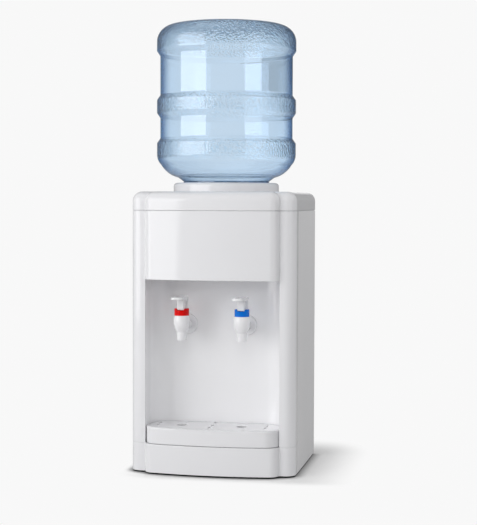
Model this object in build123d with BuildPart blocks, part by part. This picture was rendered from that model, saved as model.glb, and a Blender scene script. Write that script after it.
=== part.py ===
from build123d import *
from math import cos, radians, sin, sqrt
import os

# A countertop hot and cold water dispenser that takes an upturned bottle.
# Sizes are in millimetres. X runs to the right seen from the front, -Y is the front, Z is up,
# and Z = 0 is the table that the rubber feet stand on.

# Cabinet: overall plan and heights
cabinet_width = 314.0
cabinet_depth = 253.0  # pillar fronts to the outside of the back panel
pillar_face = -120.0  # Y of the pillar fronts
pillar_r = 20.0
bulge_width = 256.0  # bowed middle of the front
bulge_depth = 25.0  # its middle, ahead of the pillars
bulge_end = 13.0  # its ends, ahead of the pillars
bulge_end_r = 19.0
side_seam = 36.0  # pillar fronts back to the side panels
base_height = 53.5
niche_height = 309.0
panel_height = 128.5
seam_gap = 1.2  # shadow gap under the top cover
seam_inset = 1.5  # depth of that gap
cover_height = 34.8
cover_r = 18.0
moulding = 3.0  # wall of the moulded casing pieces
sheet = 1.5  # steel sheet of the side panels, back panel, shelf and stand

# Base pan, side and back panels
rim_height = 14.0  # upstand round the back part of the base pan
base_window_width = 200.0  # opening under the deck, into the machine space
base_window_margin = 6.0
base_edge_r = 1.2  # rounding along the upper edge of the skirt
panel_flap = 12.0  # ledge behind the upper front panel that carries the liner's ceiling
lip_length = 14.0  # lip of a side panel behind its pillar
lip_gap = 0.5
groove = 0.8  # upright seam between pillar and side panel
rear_flange = 16.0  # folded rear edge of a side panel
foot_height = 3.0
foot_r = 12.0
foot_plug_r = 3.9
foot_plug_gap = 0.1
foot_inset_x = 32.0  # foot centres, from the cabinet's sides
foot_inset_front = 25.0  # from the pillar fronts
foot_inset_back = 28.0  # from the back panel
screw_r = 1.5
screw_gap = 0.1
screw_length = 12.0
screw_head_r = 3.5
screw_head_height = 2.0
screw_inset = 9.0  # screw centres, from the side panels' inner faces
screw_end_inset = 40.0  # first and last screw, from the panel's lower and upper edge
screw_rows = 3
vent_width = 70.0
vent_height = 5.0
vent_pitch = 10.0
vent_rows = 7
vent_rise = 110.0  # lowest vent above the base pan's rim
vent_spacing = 110.0

# Niche, drip tray and drip grille
niche_width = bulge_width
niche_depth = 76.0  # pillar fronts to the niche's back wall
niche_corner_r = 40.0
liner = 2.0
tray_height = 31.5
tray_wall = 2.5
tray_floor = 2.5
tray_ledge = 3.0
tray_gap = 0.6  # beside and behind the tray
tray_lift = 0.8  # shadow gap under the tray
tray_edge_r = 3.0
tray_front_r = 32.0  # front corners, seen from above
tray_foot_r = 1.5  # rounding along the tray's lower edge
grille_thickness = 3.0
grille_drop = 1.0  # below the tray's rim
grille_gap = 0.4
cup_hole_r = 10.0
cup_hole_back = 3.0  # cup hole behind its tap's axis
slot_row_back = 10.0  # middle of the slot rows behind the taps' axes
drain_slot_length = 14.0
drain_slot_width = 5.0
drain_slot_pitch = 30.0
drain_slot_count = 3
end_slot_length = 13.0
end_slot_width = 4.0
end_slot_pitch = 22.0
end_slot_count = 2
end_slot_inset = 18.5

# Taps
tap_pitch = 116.0
tap_centre = -5.8  # X of the middle between the taps
tap_reach = 50.0  # niche wall to the tap's upright axis
tap_rise = 220.0  # tail axis above the tray deck
tap_flange_r = 19.5
tap_flange_thickness = 5.0
tap_flange_edge_r = 2.0
tap_tail_r = 8.0
tap_tail_gap = 0.2
tap_neck_r = 10.0
tap_thread = 12.0  # tail behind the niche wall
tap_bore_r = 2.5
tap_lip_r = 14.8
tap_lip_height = 3.0
tap_bulb_r = 15.5
tap_waist_r = 12.4
tap_spout_r = 9.6
tap_tip_r = 8.8
tap_chamber_r = 10.0
tap_outlet_r = 5.0
tap_bulb_rise = 6.5  # widest place, above the tail axis
tap_top_rise = 19.9  # top of the body, above the tail axis
tap_waist_drop = 6.2
tap_spout_top_drop = 11.7
tap_spout_drop = 27.0
tap_seat_drop = 5.0
ring_r = 14.0
ring_height = 13.4
ring_edge_r = 1.0
ring_plug_depth = 6.0
ring_plug_gap = 0.1
ring_notch = 3.0  # notch across the ring's top for the lever's foot
ring_notch_slope = 1.2
ring_notch_gap = 0.5
stem_r = 4.0
stem_gap = 0.2
stem_flange_r = 7.0
stem_flange_thickness = 2.0
stem_head = 3.5  # stem above the lever pin
seal_r = 8.0
seal_thickness = 5.0
pin_r = 1.5
pin_gap = 0.05
pin_rise = 7.0  # lever pin above the ring
spring_coil_r = 6.0
spring_wire_r = 0.6
spring_turns = 4
lever_rest_gap = 0.1
lever_width = 15.0
lever_heel = 8.0  # heel edge ahead of the pin
lever_slot_gap = 0.3
lever_stem_height = 16.0  # ring to the underside of the paddle
lever_web = 2.2  # front wall ahead of the cheeks
lever_web_drop = 9.0  # front wall's lower edge below the pin
lever_web_r = 1.5
lever_plate = 2.5  # back wall
lever_plate_width = 20.0
lever_plate_gap = 1.0  # back wall's lower edge above the ring
paddle_width = 22.0
paddle_thickness = 7.0
paddle_front = 47.0  # pin to the paddle's front end
paddle_tip_thickness = 4.0
paddle_corner_r = 8.0
paddle_edge_r = 2.0
nut_flats = 24.0
nut_thickness = 6.0
nut_gap = 0.3

# Bottle, collar and feed probe
bottle_setback = 130.0  # pillar fronts to the bottle's axis
bottle_r = 135.0
bottle_window_r = 128.5
bottle_wall = 1.8
bottle_low_band = 22.0
bottle_low_window = 39.0
bottle_mid_band = 25.0
bottle_high_window = 75.0
bottle_top_band = 18.0
band_slope = 9.5
band_edge_r = 3.5
bottle_shoulder_r = 32.0
bottle_bowl_r = 126.5  # below the lowest band
bottle_bowl_drop = 20.0
bowl_out = 0.6  # middle of the bowl's curve, as shares of the way out and up
bowl_up = 0.4
bowl_brim_out = 0.71  # the same for the brim above it
bowl_brim_up = 0.43
bottle_foot_rise = 10.5  # foot of the bowl above the collar
bottle_foot_r = 94.0
bottle_foot_height = 8.0
bottle_foot_slope = 11.0
bottle_bowl_edge_r = 95.0
bottle_low_band_rise = 54.5  # lowest band above the collar
neck_r = 27.5
neck_length = 30.0
cone_small_r = 34.0
cone_neck_drop = 5.0
cone_large_r = 84.0
cone_drop = 2.5  # upper end of the neck cone, below the collar's top
cone_height = 21.0
cap_wall = 2.0
cap_gap = 0.3
cap_length = 20.0
collar_r = 102.5
collar_height = 17.5
collar_edge_r = 7.0
collar_opening_r = 90.5
collar_wall = 3.0
collar_gap = 0.33  # between the bottle's cone and its seat
collar_spigot_r = 95.5
collar_spigot_depth = 6.0
collar_spigot_gap = 0.5
well_r = 40.0
probe_r = 9.0
probe_gap = 0.3
probe_flange_r = 20.0
probe_flange_thickness = 2.5
probe_cap_gap = 0.5  # flange to the bottle cap
probe_height = 34.0  # above the well floor
probe_tip = 5.0
probe_tip_r = 4.0
probe_tail = 18.0  # below the well floor
probe_bore_r = 5.0
probe_port_r = 3.0

# Cold side
cold_tank_r = 70.0
cold_tank_height = 92.0
cold_tank_wall = 1.2
tank_lid_thickness = 4.0
foam = 14.0
foam_floor = 4.5
foam_gap = 0.1
shelf_front = 45.0  # pillar fronts to the shelf's front edge
shelf_back_gap = 3.5
shelf_flange = 20.0
cold_block_size = 50.0
cold_block_reach = 12.0  # tank wall to the module
block_gap = 0.1
module_size = 40.0
module_thickness = 4.0
sink_width = 110.0
sink_height = 90.0
sink_base = 5.0
fin_depth = 15.0
fin_thickness = 1.4
fin_pitch = 6.0
fin_count = 18
fan_size = 92.0
fan_back_gap = 0.5  # fan frame to the back panel
fan_duct_r = 43.0
fan_hub_r = 18.0
fan_plate = 2.0
fan_strut = 5.0
fan_shaft_r = 2.0
fan_shaft_gap = 0.05
fan_hub_depth = 9.0
fan_hub_gap = 0.4
blade_count = 7
blade_tip_gap = 1.5
blade_chord = 12.0
blade_thickness = 1.4
blade_pitch = 38.0
fan_slot = 5.0
fan_slot_pitch = 9.0
fan_slot_count = 9
fan_rib = 7.0

# Hot side
hot_tank_r = 45.0
hot_tank_height = 140.0
hot_tank_wall = 1.2
hot_tank_setback = 170.0  # pillar fronts to the hot tank's axis
hot_tank_drop = 40.0  # tank top below the tap tails
hot_inlet_rise = 15.0
heater_height = 45.0
heater_rise = 40.0
heater_thickness = 3.0
heater_gap = 0.1
heater_box = 18.0
heater_box_depth = 9.0
thermostat_r = 8.0
thermostat_height = 6.0
thermostat_spacing = 50.0
stand_size = 100.0
stand_foot = 14.0

# Hoses and spigots
spigot_r = 4.0
spigot_bore_r = 2.5
spigot_length = 14.0
spigot_gap = 0.3
hose_r = 6.0
hose_fit = 0.05
hose_bend_r = 20.0
hose_end_gap = 0.5
feed_outlet_x = 20.0
feed_outlet_behind = 40.0  # behind the bottle's axis
drain_pipe_r = 6.0
drain_flange_r = 10.0
drain_flange_thickness = 2.0
drain_stub = 8.0  # pipe outside the back panel
drain_hole_gap = 0.2
drain_cap_r = 9.0
drain_cap_wall = 2.0
drain_cap_gap = 0.3
drain_cap_stand = 0.5

# Power board, switches and cord gland
board_length = 110.0
board_width = 80.0
board_thickness = 1.6
board_inset = 82.0  # board's centre from the cabinet's right side
board_setback = 190.0  # pillar fronts to the board's centre
standoff_height = 8.0
standoff_r = 3.5
standoff_inset = 7.0
choke_size = 34.0
choke_height = 28.0
capacitor_r = 8.0
capacitor_height = 24.0
relay_size = 18.0
relay_height = 15.0
component_step = 34.0
switch_inset = 62.0  # from the cabinet's left side
switch_drop = 34.5  # below the niche liner's top
switch_flange_width = 56.0
switch_flange_height = 36.0
switch_flange_thickness = 2.0
switch_body_width = 50.0
switch_body_height = 30.0
switch_body_depth = 18.0
switch_wall = 2.5
switch_cut_gap = 0.3
rocker_width = 19.0
rocker_gap = 0.5
rocker_web = 3.0
rocker_half_height = 12.0
rocker_slack = 1.2
rocker_end = 6.5  # rocker ends ahead of the pivot
rocker_middle = 4.5
rocker_back = 2.0
rocker_edge = 4.0
rocker_bevel = 1.0
rocker_pivot_depth = 4.0
rocker_pivot_r = 2.0
rocker_pivot_gap = 0.05
rocker_pivot_length = 1.0
rocker_tilt = 7.0
gland_inset = 47.0  # from the cabinet's right side
gland_rise = 60.0
gland_bore_r = 3.6
gland_r = 7.8
gland_hole_gap = 0.2
gland_flange_r = 11.0
gland_flange_thickness = 4.0
gland_depth = 13.0

# Heights worked out from the sizes above
base_bottom = foot_height
floor_top = base_bottom + moulding
rim_top = floor_top + rim_height
base_top = base_bottom + base_height
niche_top = base_top + niche_height
flap_top = niche_top + moulding
liner_top = flap_top + liner
panel_top = niche_top + panel_height
cover_bottom = panel_top + seam_gap
cover_top = cover_bottom + cover_height
collar_top = cover_top + collar_height
tap_z = base_top + tap_rise
tray_bottom = base_top + tray_lift
tray_top = tray_bottom + tray_height
ledge_top = tray_top - grille_drop - grille_thickness
shelf_top = liner_top + sheet
cold_bottom = shelf_top + foam_floor
cold_top = cold_bottom + cold_tank_height
cold_middle = (cold_bottom + cold_top) / 2
hot_top = tap_z - hot_tank_drop
hot_bottom = hot_top - hot_tank_height
hot_inlet_z = hot_bottom + hot_inlet_rise
switch_z = liner_top - switch_drop
gland_z = floor_top + gland_rise

# Places worked out from the sizes above
side_outer = cabinet_width / 2
side_inner = side_outer - sheet
strip_inner = side_outer - moulding
bow_face = pillar_face - bulge_depth
seam_y = pillar_face + side_seam
back_face = pillar_face + cabinet_depth
back_inner = back_face - sheet
niche_half = niche_width / 2
niche_back = pillar_face + niche_depth
liner_back = niche_back + liner
tap_y = niche_back - tap_reach
tap_places = {"hot": tap_centre - tap_pitch / 2, "cold": tap_centre + tap_pitch / 2}
bottle_y = pillar_face + bottle_setback
hot_x = tap_places["hot"]
cold_x = tap_places["cold"]
hot_y = pillar_face + hot_tank_setback
feed_y = bottle_y + feed_outlet_behind
board_x = side_outer - board_inset
board_y = pillar_face + board_setback
switch_x = switch_inset - side_outer
gland_x = side_outer - gland_inset
module_front = bottle_y + cold_tank_r + cold_block_reach
sink_front = module_front + module_thickness
fin_front = sink_front + sink_base
fan_front = fin_front + fin_depth
fan_back = back_inner - fan_back_gap
back_plane = Plane.XZ.offset(-back_face)

os.makedirs("parts", exist_ok=True)


def save(piece, name):
    """Label a finished piece and write it under its own name."""
    piece.part.label = name
    export_step(piece.part, f"parts/{name}.step")


def block(x, y, z, mode=Mode.ADD):
    """Add a box to the open part, given its two limits along each axis."""
    with Locations(((x[0] + x[1]) / 2, (y[0] + y[1]) / 2, (z[0] + z[1]) / 2)):
        Box(abs(x[1] - x[0]), y[1] - y[0], z[1] - z[0], mode=mode)


def layer(plan, low, high, mode=Mode.ADD):
    """Raise a plan from one height to another in the open part."""
    extrude(plan.moved(Location((0, 0, low))), amount=high - low, mode=mode)


def turned_up(points, x, y, mode=Mode.ADD):
    """Turn a closed outline of (radius, height) points about the upright axis at x, y."""
    with BuildSketch(Plane(origin=(x, y, 0), x_dir=(1, 0, 0), z_dir=(0, -1, 0))) as outline:
        with BuildLine():
            Polyline(*points, close=True)
        make_face()
    revolve(outline.sketch, axis=Axis((x, y, 0), (0, 0, 1)), mode=mode)


def turned_back(points, x, z, mode=Mode.ADD):
    """Turn a closed outline of (radius, Y) points about the level axis along Y at x, z."""
    with BuildSketch(Plane(origin=(x, 0, z), x_dir=(1, 0, 0), z_dir=(0, 0, 1))) as outline:
        with BuildLine():
            Polyline(*points, close=True)
        make_face()
    revolve(outline.sketch, axis=Axis((x, 0, z), (0, 1, 0)), mode=mode)


def tube_up(outer, inner, low, high, x, y, mode=Mode.ADD):
    """Add an upright tube, or a rod where inner is 0, to the open part."""
    turned_up([(inner, low), (outer, low), (outer, high), (inner, high)], x, y, mode)


def tube_back(outer, inner, front, back, x, z, mode=Mode.ADD):
    """Add a tube along Y, or a rod where inner is 0, to the open part."""
    turned_back([(inner, front), (outer, front), (outer, back), (inner, back)], x, z, mode)


def rod_across(radius, x, y, z, mode=Mode.ADD):
    """Add a rod along X, given its two limits in X, to the open part."""
    with Locations(Location(((x[0] + x[1]) / 2, y, z), (0, 90, 0))):
        Cylinder(radius, x[1] - x[0], mode=mode)


# Plans of the casing
def casing_plan(inset, back):
    """Plan of the pillars and sides, set in by inset, back to the line Y = back."""
    face = pillar_face + inset
    with BuildSketch() as plan:
        with Locations((0, (face + back) / 2)):
            Rectangle(cabinet_width - 2 * inset, back - face)
        fillet(plan.vertices().group_by(Axis.Y)[0], pillar_r - inset)
    return plan.sketch


def bow_plan(inset, back, end_r=bulge_end_r):
    """Plan of the bowed middle of the front, set in by inset, back to the line Y = back."""
    half = bulge_width / 2 - inset
    end = pillar_face + inset - bulge_end
    middle = pillar_face + inset - bulge_depth
    with BuildSketch() as plan:
        with BuildLine():
            ThreePointArc((-half, end), (0, middle), (half, end))
            Polyline((half, end), (half, back), (-half, back), (-half, end))
        make_face()
        fillet(plan.vertices().group_by(Axis.Y)[0], end_r - inset)
    return plan.sketch


def cabinet_plan(inset, back):
    """Whole plan of the cabinet, set in by inset, back to the line Y = back."""
    with BuildSketch() as plan:
        add(casing_plan(inset, back))
        add(bow_plan(inset, back))
    return plan.sketch


def niche_plan(outset):
    """Plan of the niche behind the pillars, grown by outset, with round back corners."""
    front = pillar_face + moulding
    back = niche_back + outset
    with BuildSketch() as plan:
        with Locations((0, (front + back) / 2)):
            Rectangle(niche_width + 2 * outset, back - front)
        fillet(plan.vertices().group_by(Axis.Y)[-1], niche_corner_r + outset)
    return plan.sketch


def tray_plan(inset):
    """Plan of the drip tray, set in by inset: bowed front, round back corners."""
    back = niche_back - tray_gap - inset
    with BuildSketch() as plan:
        with Locations((0, (bow_face + back) / 2)):
            Rectangle(niche_width - 2 * (tray_gap + inset), back - bow_face)
        fillet(plan.vertices().group_by(Axis.Y)[-1], niche_corner_r - tray_gap - inset)
        add(bow_plan(inset, back, tray_front_r), mode=Mode.INTERSECT)
    return plan.sketch


# Base pan: skirt, deck under the drip tray, floor and rim, holes for the feet
foot_places = [
    (x, y)
    for x in (-side_outer + foot_inset_x, side_outer - foot_inset_x)
    for y in (pillar_face + foot_inset_front, back_face - foot_inset_back)
]
window_half = base_window_width / 2

with BuildPart() as base_pan:
    layer(cabinet_plan(0, seam_y), base_bottom, base_top)
    skirt_edges = base_pan.faces().sort_by(Axis.Z)[-1].edges()
    fillet(skirt_edges.sort_by(Axis.Y)[:-1], base_edge_r)
    block((-side_inner, side_inner), (seam_y, liner_back), (base_bottom, base_top))
    block((-side_inner, side_inner), (liner_back, back_inner), (base_bottom, rim_top))
    layer(cabinet_plan(moulding, liner_back - moulding), floor_top, base_top - moulding, Mode.SUBTRACT)
    block(
        (moulding - side_inner, side_inner - moulding),
        (liner_back, back_inner - moulding),
        (floor_top, rim_top),
        Mode.SUBTRACT,
    )
    block(
        (-window_half, window_half),
        (liner_back - moulding, liner_back),
        (floor_top + base_window_margin, base_top - moulding - base_window_margin),
        Mode.SUBTRACT,
    )
    for x, y in foot_places:
        tube_up(foot_plug_r + foot_plug_gap, 0, base_bottom, floor_top, x, y, Mode.SUBTRACT)
save(base_pan, "base_pan")

# Rubber feet, each with a plug through the base pan's floor
with BuildPart() as rubber_feet:
    for x, y in foot_places:
        tube_up(foot_r, 0, 0, foot_height, x, y)
        tube_up(foot_plug_r, 0, foot_height, floor_top, x, y)
save(rubber_feet, "rubber_feet")

# Front panel: two pillars and the bowed panel above the niche, with a ledge behind its lower edge
flap_back = pillar_face + moulding + panel_flap

with BuildPart() as front_panel:
    layer(cabinet_plan(0, seam_y), base_top, panel_top)
    layer(cabinet_plan(moulding, seam_y), base_top, panel_top, Mode.SUBTRACT)
    block((-niche_half, niche_half), (bow_face, seam_y), (base_top, niche_top), Mode.SUBTRACT)
    with BuildSketch(Plane.XY.offset(niche_top)):
        add(bow_plan(0, flap_back))
        with Locations((0, (bow_face + flap_back) / 2)):
            Rectangle(niche_width, flap_back - bow_face, mode=Mode.INTERSECT)
    extrude(amount=moulding)
save(front_panel, "front_panel")

# Niche liner: back wall, side walls with round corners, ceiling, two tap holes
with BuildPart() as niche_liner:
    layer(niche_plan(liner), base_top, liner_top)
    layer(niche_plan(0), base_top, flap_top, Mode.SUBTRACT)
    for x in tap_places.values():
        tube_back(tap_tail_r + tap_tail_gap, 0, niche_back, liner_back, x, tap_z, Mode.SUBTRACT)
save(niche_liner, "niche_liner")

# Side panels: sheet with a lip behind the pillar and a flange at the back
screw_x = side_inner - screw_inset
screw_low = base_bottom + screw_end_inset
screw_step = (panel_height + niche_height + base_height - 2 * screw_end_inset) / (screw_rows - 1)
screw_heights = [screw_low + row * screw_step for row in range(screw_rows)]
panel_front = seam_y + groove

for name, side in (("left_side_panel", -1), ("right_side_panel", 1)):
    with BuildPart() as side_panel:
        block(
            (side * side_inner, side * side_outer),
            (panel_front, back_inner),
            (base_bottom, panel_top),
        )
        block(
            (side * (strip_inner - sheet), side * side_inner),
            (panel_front, panel_front + sheet),
            (base_top + lip_gap, panel_top),
        )
        block(
            (side * (strip_inner - sheet), side * strip_inner),
            (seam_y - lip_length, panel_front + sheet),
            (base_top + lip_gap, panel_top),
        )
        block(
            (side * (side_inner - rear_flange), side * side_inner),
            (back_inner - sheet, back_inner),
            (rim_top + lip_gap, panel_top),
        )
        for z in screw_heights:
            tube_back(
                screw_r + screw_gap, 0, back_inner - sheet, back_inner, side * screw_x, z, Mode.SUBTRACT
            )
    save(side_panel, name)

# Back panel: vents, fan slots, and cutouts for screws, switches, drain pipe and cord gland
vent_low = rim_top + vent_rise
vent_middle = vent_low + (vent_rows - 1) * vent_pitch / 2
switch_cut_width = switch_body_width + 2 * switch_cut_gap
switch_cut_height = switch_body_height + 2 * switch_cut_gap

with BuildPart() as back_panel:
    block((-side_outer, side_outer), (back_inner, back_face), (base_bottom, panel_top))
    with BuildSketch(back_plane):
        with Locations((0, vent_middle)):
            with GridLocations(vent_spacing, vent_pitch, 2, vent_rows):
                SlotOverall(vent_width, vent_height)
        for row in range(fan_slot_count):
            rise = (row - (fan_slot_count - 1) / 2) * fan_slot_pitch
            chord = sqrt(fan_duct_r**2 - rise**2) - fan_rib / 2
            for side in (-1, 1):
                with Locations((side * (fan_rib + chord) / 2, cold_middle + rise)):
                    SlotOverall(chord, fan_slot)
        with Locations((switch_x, switch_z)):
            Rectangle(switch_cut_width, switch_cut_height)
        with Locations((hot_x, hot_inlet_z)):
            Circle(drain_pipe_r + drain_hole_gap)
        with Locations((gland_x, gland_z)):
            Circle(gland_r + gland_hole_gap)
        with Locations(*[(side * screw_x, z) for side in (-1, 1) for z in screw_heights]):
            Circle(screw_r + screw_gap)
    extrude(amount=sheet, mode=Mode.SUBTRACT)
save(back_panel, "back_panel")

# Casing screws through the back panel into the side panels' flanges
with BuildPart() as casing_screws:
    for side in (-1, 1):
        for z in screw_heights:
            tube_back(screw_r, 0, back_face - screw_length, back_face, side * screw_x, z)
            tube_back(screw_head_r, 0, back_face, back_face + screw_head_height, side * screw_x, z)
save(casing_screws, "casing_screws")


# Top cover: a rounded shell with the cabinet's plan and a round opening for the collar
def rounded_top(plan, inset):
    """A plan raised to the cover's top, set in by inset, round along its front and side edges."""
    with BuildPart() as form:
        layer(plan, cover_bottom, cover_top - inset)
        top_edges = form.faces().sort_by(Axis.Z)[-1].edges()
        fillet(top_edges.sort_by(Axis.Y)[:-1], cover_r - inset)
    return form.part


with BuildPart() as top_cover:
    add(rounded_top(casing_plan(0, back_face), 0))
    add(rounded_top(bow_plan(0, seam_y), 0))
    add(rounded_top(casing_plan(moulding, back_face - moulding), moulding), mode=Mode.SUBTRACT)
    add(rounded_top(bow_plan(moulding, seam_y), moulding), mode=Mode.SUBTRACT)
    layer(cabinet_plan(seam_inset, back_face - seam_inset), panel_top, cover_bottom)
    layer(cabinet_plan(moulding, back_face - moulding), panel_top, cover_bottom, Mode.SUBTRACT)
    collar_hole_r = collar_spigot_r + collar_spigot_gap
    tube_up(collar_hole_r, 0, cover_top - moulding, cover_top, 0, bottle_y, Mode.SUBTRACT)
save(top_cover, "top_cover")

# Collar: ring on the top cover, cone seat for the bottle, well with a hole for the feed probe
cone_slope = cone_height / (cone_large_r - cone_small_r)
cone_top = collar_top - cone_drop
cone_bottom = cone_top - cone_height
neck_top = cone_bottom - cone_neck_drop
neck_end = neck_top - neck_length
cap_bottom = neck_end - cap_wall
well_z = cap_bottom - probe_cap_gap - probe_flange_thickness


def seat_height(radius):
    """Height of the cone seat in the collar at a radius."""
    return cone_bottom + cone_slope * (radius - cone_small_r) - collar_gap


well_outer = well_r + collar_wall
spigot_inner = collar_spigot_r - collar_wall
rim_drop = 2 * collar_wall  # seat wall grows to this at the rim
seat_drop = collar_wall * sqrt(1 + cone_slope**2)  # seat wall measured upright

with BuildPart() as collar:
    with BuildSketch(Plane.XZ.offset(-bottle_y)) as section:
        with BuildLine():
            Polyline(
                (probe_r + probe_gap, well_z),
                (well_r, well_z),
                (well_r, seat_height(well_r)),
                (collar_opening_r - collar_wall, seat_height(collar_opening_r - collar_wall)),
                (collar_opening_r, collar_top),
                (collar_r, collar_top),
                (collar_r, cover_top),
                (collar_spigot_r, cover_top),
                (collar_spigot_r, cover_top - collar_spigot_depth),
                (spigot_inner, cover_top - collar_spigot_depth),
                (spigot_inner, seat_height(spigot_inner) - rim_drop),
                (well_outer, seat_height(well_outer) - seat_drop),
                (well_outer, well_z - collar_wall),
                (probe_r + probe_gap, well_z - collar_wall),
                close=True,
            )
        make_face()
        fillet(section.vertices().sort_by_distance((collar_r, collar_top))[0], collar_edge_r)
    revolve(axis=Axis((0, bottle_y, 0), (0, 0, 1)))
save(collar, "collar")

# Feed probe: spike in the well, with side ports and a tail into the cold tank's lid
probe_top = well_z + probe_height
port_z = probe_top - 2 * probe_port_r

with BuildPart() as feed_probe:
    turned_up(
        [
            (0, well_z - probe_tail),
            (probe_r, well_z - probe_tail),
            (probe_r, well_z),
            (probe_flange_r, well_z),
            (probe_flange_r, well_z + probe_flange_thickness),
            (probe_r, well_z + probe_flange_thickness),
            (probe_r, probe_top),
            (probe_tip_r, probe_top + probe_tip),
            (0, probe_top + probe_tip),
        ],
        0,
        bottle_y,
    )
    tube_up(probe_bore_r, 0, well_z - probe_tail, probe_top, 0, bottle_y, Mode.SUBTRACT)
    rod_across(probe_port_r, (-probe_r, probe_r), bottle_y, port_z, Mode.SUBTRACT)
save(feed_probe, "feed_probe")

# Bottle: upturned, with three bands, two windows, a bowl, a foot ring, a cone and a neck
low_band_bottom = collar_top + bottle_low_band_rise
low_band_top = low_band_bottom + bottle_low_band
low_window_bottom = low_band_top + band_slope
low_window_top = low_window_bottom + bottle_low_window
mid_band_bottom = low_window_top + band_slope
mid_band_top = mid_band_bottom + bottle_mid_band
high_window_bottom = mid_band_top + band_slope
high_window_top = high_window_bottom + bottle_high_window
top_band_bottom = high_window_top + band_slope
top_band_top = top_band_bottom + bottle_top_band
bottle_top = top_band_top + bottle_shoulder_r
bowl_top = low_band_bottom - bottle_bowl_drop
foot_top = collar_top + bottle_foot_rise
foot_bottom = foot_top - bottle_foot_height

band_corners = [
    (bottle_r, low_band_top),
    (bottle_window_r, low_window_bottom),
    (bottle_window_r, low_window_top),
    (bottle_r, mid_band_bottom),
    (bottle_r, mid_band_top),
    (bottle_window_r, high_window_bottom),
    (bottle_window_r, high_window_top),
    (bottle_r, top_band_bottom),
]


def bottle_section():
    """Half section of the bottle as a filled form, in radius and height."""
    with BuildSketch() as section:
        with BuildLine():
            Polyline(
                (0, neck_end),
                (neck_r, neck_end),
                (neck_r, neck_top),
                (cone_small_r, cone_bottom),
                (cone_large_r, cone_top),
                (bottle_foot_r - bottle_foot_slope, foot_bottom),
                (bottle_foot_r, foot_top),
                (bottle_bowl_edge_r, foot_top),
            )
            bowl = ThreePointArc(
                (bottle_bowl_edge_r, foot_top),
                (
                    bottle_bowl_edge_r + (bottle_bowl_r - bottle_bowl_edge_r) * bowl_out,
                    foot_top + (bowl_top - foot_top) * bowl_up,
                ),
                (bottle_bowl_r, bowl_top),
            )
            ThreePointArc(
                bowl @ 1,
                (
                    bottle_bowl_r + (bottle_r - bottle_bowl_r) * bowl_brim_out,
                    bowl_top + bottle_bowl_drop * bowl_brim_up,
                ),
                (bottle_r, low_band_bottom),
            )
            Polyline((bottle_r, low_band_bottom), *band_corners, (bottle_r, top_band_top))
            RadiusArc(
                (bottle_r, top_band_top), (bottle_r - bottle_shoulder_r, bottle_top), -bottle_shoulder_r
            )
            Polyline((bottle_r - bottle_shoulder_r, bottle_top), (0, bottle_top), (0, neck_end))
        make_face()
        for corner in band_corners:
            fillet(section.vertices().sort_by_distance(corner)[0], band_edge_r)
    return section.sketch


with BuildPart() as bottle:
    with BuildSketch(Plane.XZ.offset(-bottle_y)):
        add(bottle_section())
        with BuildSketch(mode=Mode.PRIVATE) as inside:
            add(bottle_section())
            mirror(about=Plane.YZ)
            offset(amount=-bottle_wall)
            with Locations((0, neck_end + neck_length / 2)):
                Rectangle(2 * (neck_r - bottle_wall), neck_length)
        add(inside.sketch, mode=Mode.SUBTRACT)
    revolve(axis=Axis((0, bottle_y, 0), (0, 0, 1)))
save(bottle, "bottle")

# Bottle cap: sleeve on the neck with a hole for the feed probe
cap_bore_r = neck_r + cap_gap

with BuildPart() as bottle_cap:
    turned_up(
        [
            (probe_r + probe_gap, cap_bottom),
            (cap_bore_r + cap_wall, cap_bottom),
            (cap_bore_r + cap_wall, neck_end + cap_length),
            (cap_bore_r, neck_end + cap_length),
            (cap_bore_r, neck_end),
            (probe_r + probe_gap, neck_end),
        ],
        0,
        bottle_y,
    )
save(bottle_cap, "bottle_cap")

# Drip tray: open box with a ledge for the grille
with BuildPart() as drip_tray:
    layer(tray_plan(0), tray_bottom, tray_top)
    fillet(drip_tray.faces().sort_by(Axis.Z)[-1].edges(), tray_edge_r)
    fillet(drip_tray.faces().sort_by(Axis.Z)[0].edges(), tray_foot_r)
    layer(tray_plan(tray_wall), ledge_top, tray_top, Mode.SUBTRACT)
    layer(tray_plan(tray_wall + tray_ledge), tray_bottom + tray_floor, ledge_top, Mode.SUBTRACT)
save(drip_tray, "drip_tray")

# Drip grille: plate with two cup holes, a middle row of drain slots and a row of slots at each end
cup_hole_y = tap_y + cup_hole_back
slot_row_y = tap_y + slot_row_back
slot_x = niche_half - tray_gap - tray_wall - tray_ledge - end_slot_inset

with BuildPart() as drip_grille:
    layer(tray_plan(tray_wall + grille_gap), ledge_top, ledge_top + grille_thickness)
    with BuildSketch(Plane.XY.offset(ledge_top)):
        with Locations(*[(x, cup_hole_y) for x in tap_places.values()]):
            Circle(cup_hole_r)
        with Locations((tap_centre, slot_row_y)):
            with GridLocations(drain_slot_pitch, drain_slot_pitch, 1, drain_slot_count):
                SlotOverall(drain_slot_length, drain_slot_width, rotation=90)
        with Locations((tap_centre - slot_x, slot_row_y), (tap_centre + slot_x, slot_row_y)):
            with GridLocations(end_slot_pitch, end_slot_pitch, 1, end_slot_count):
                SlotOverall(end_slot_length, end_slot_width, rotation=90)
    extrude(amount=grille_thickness, mode=Mode.SUBTRACT)
save(drip_grille, "drip_grille")

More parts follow.
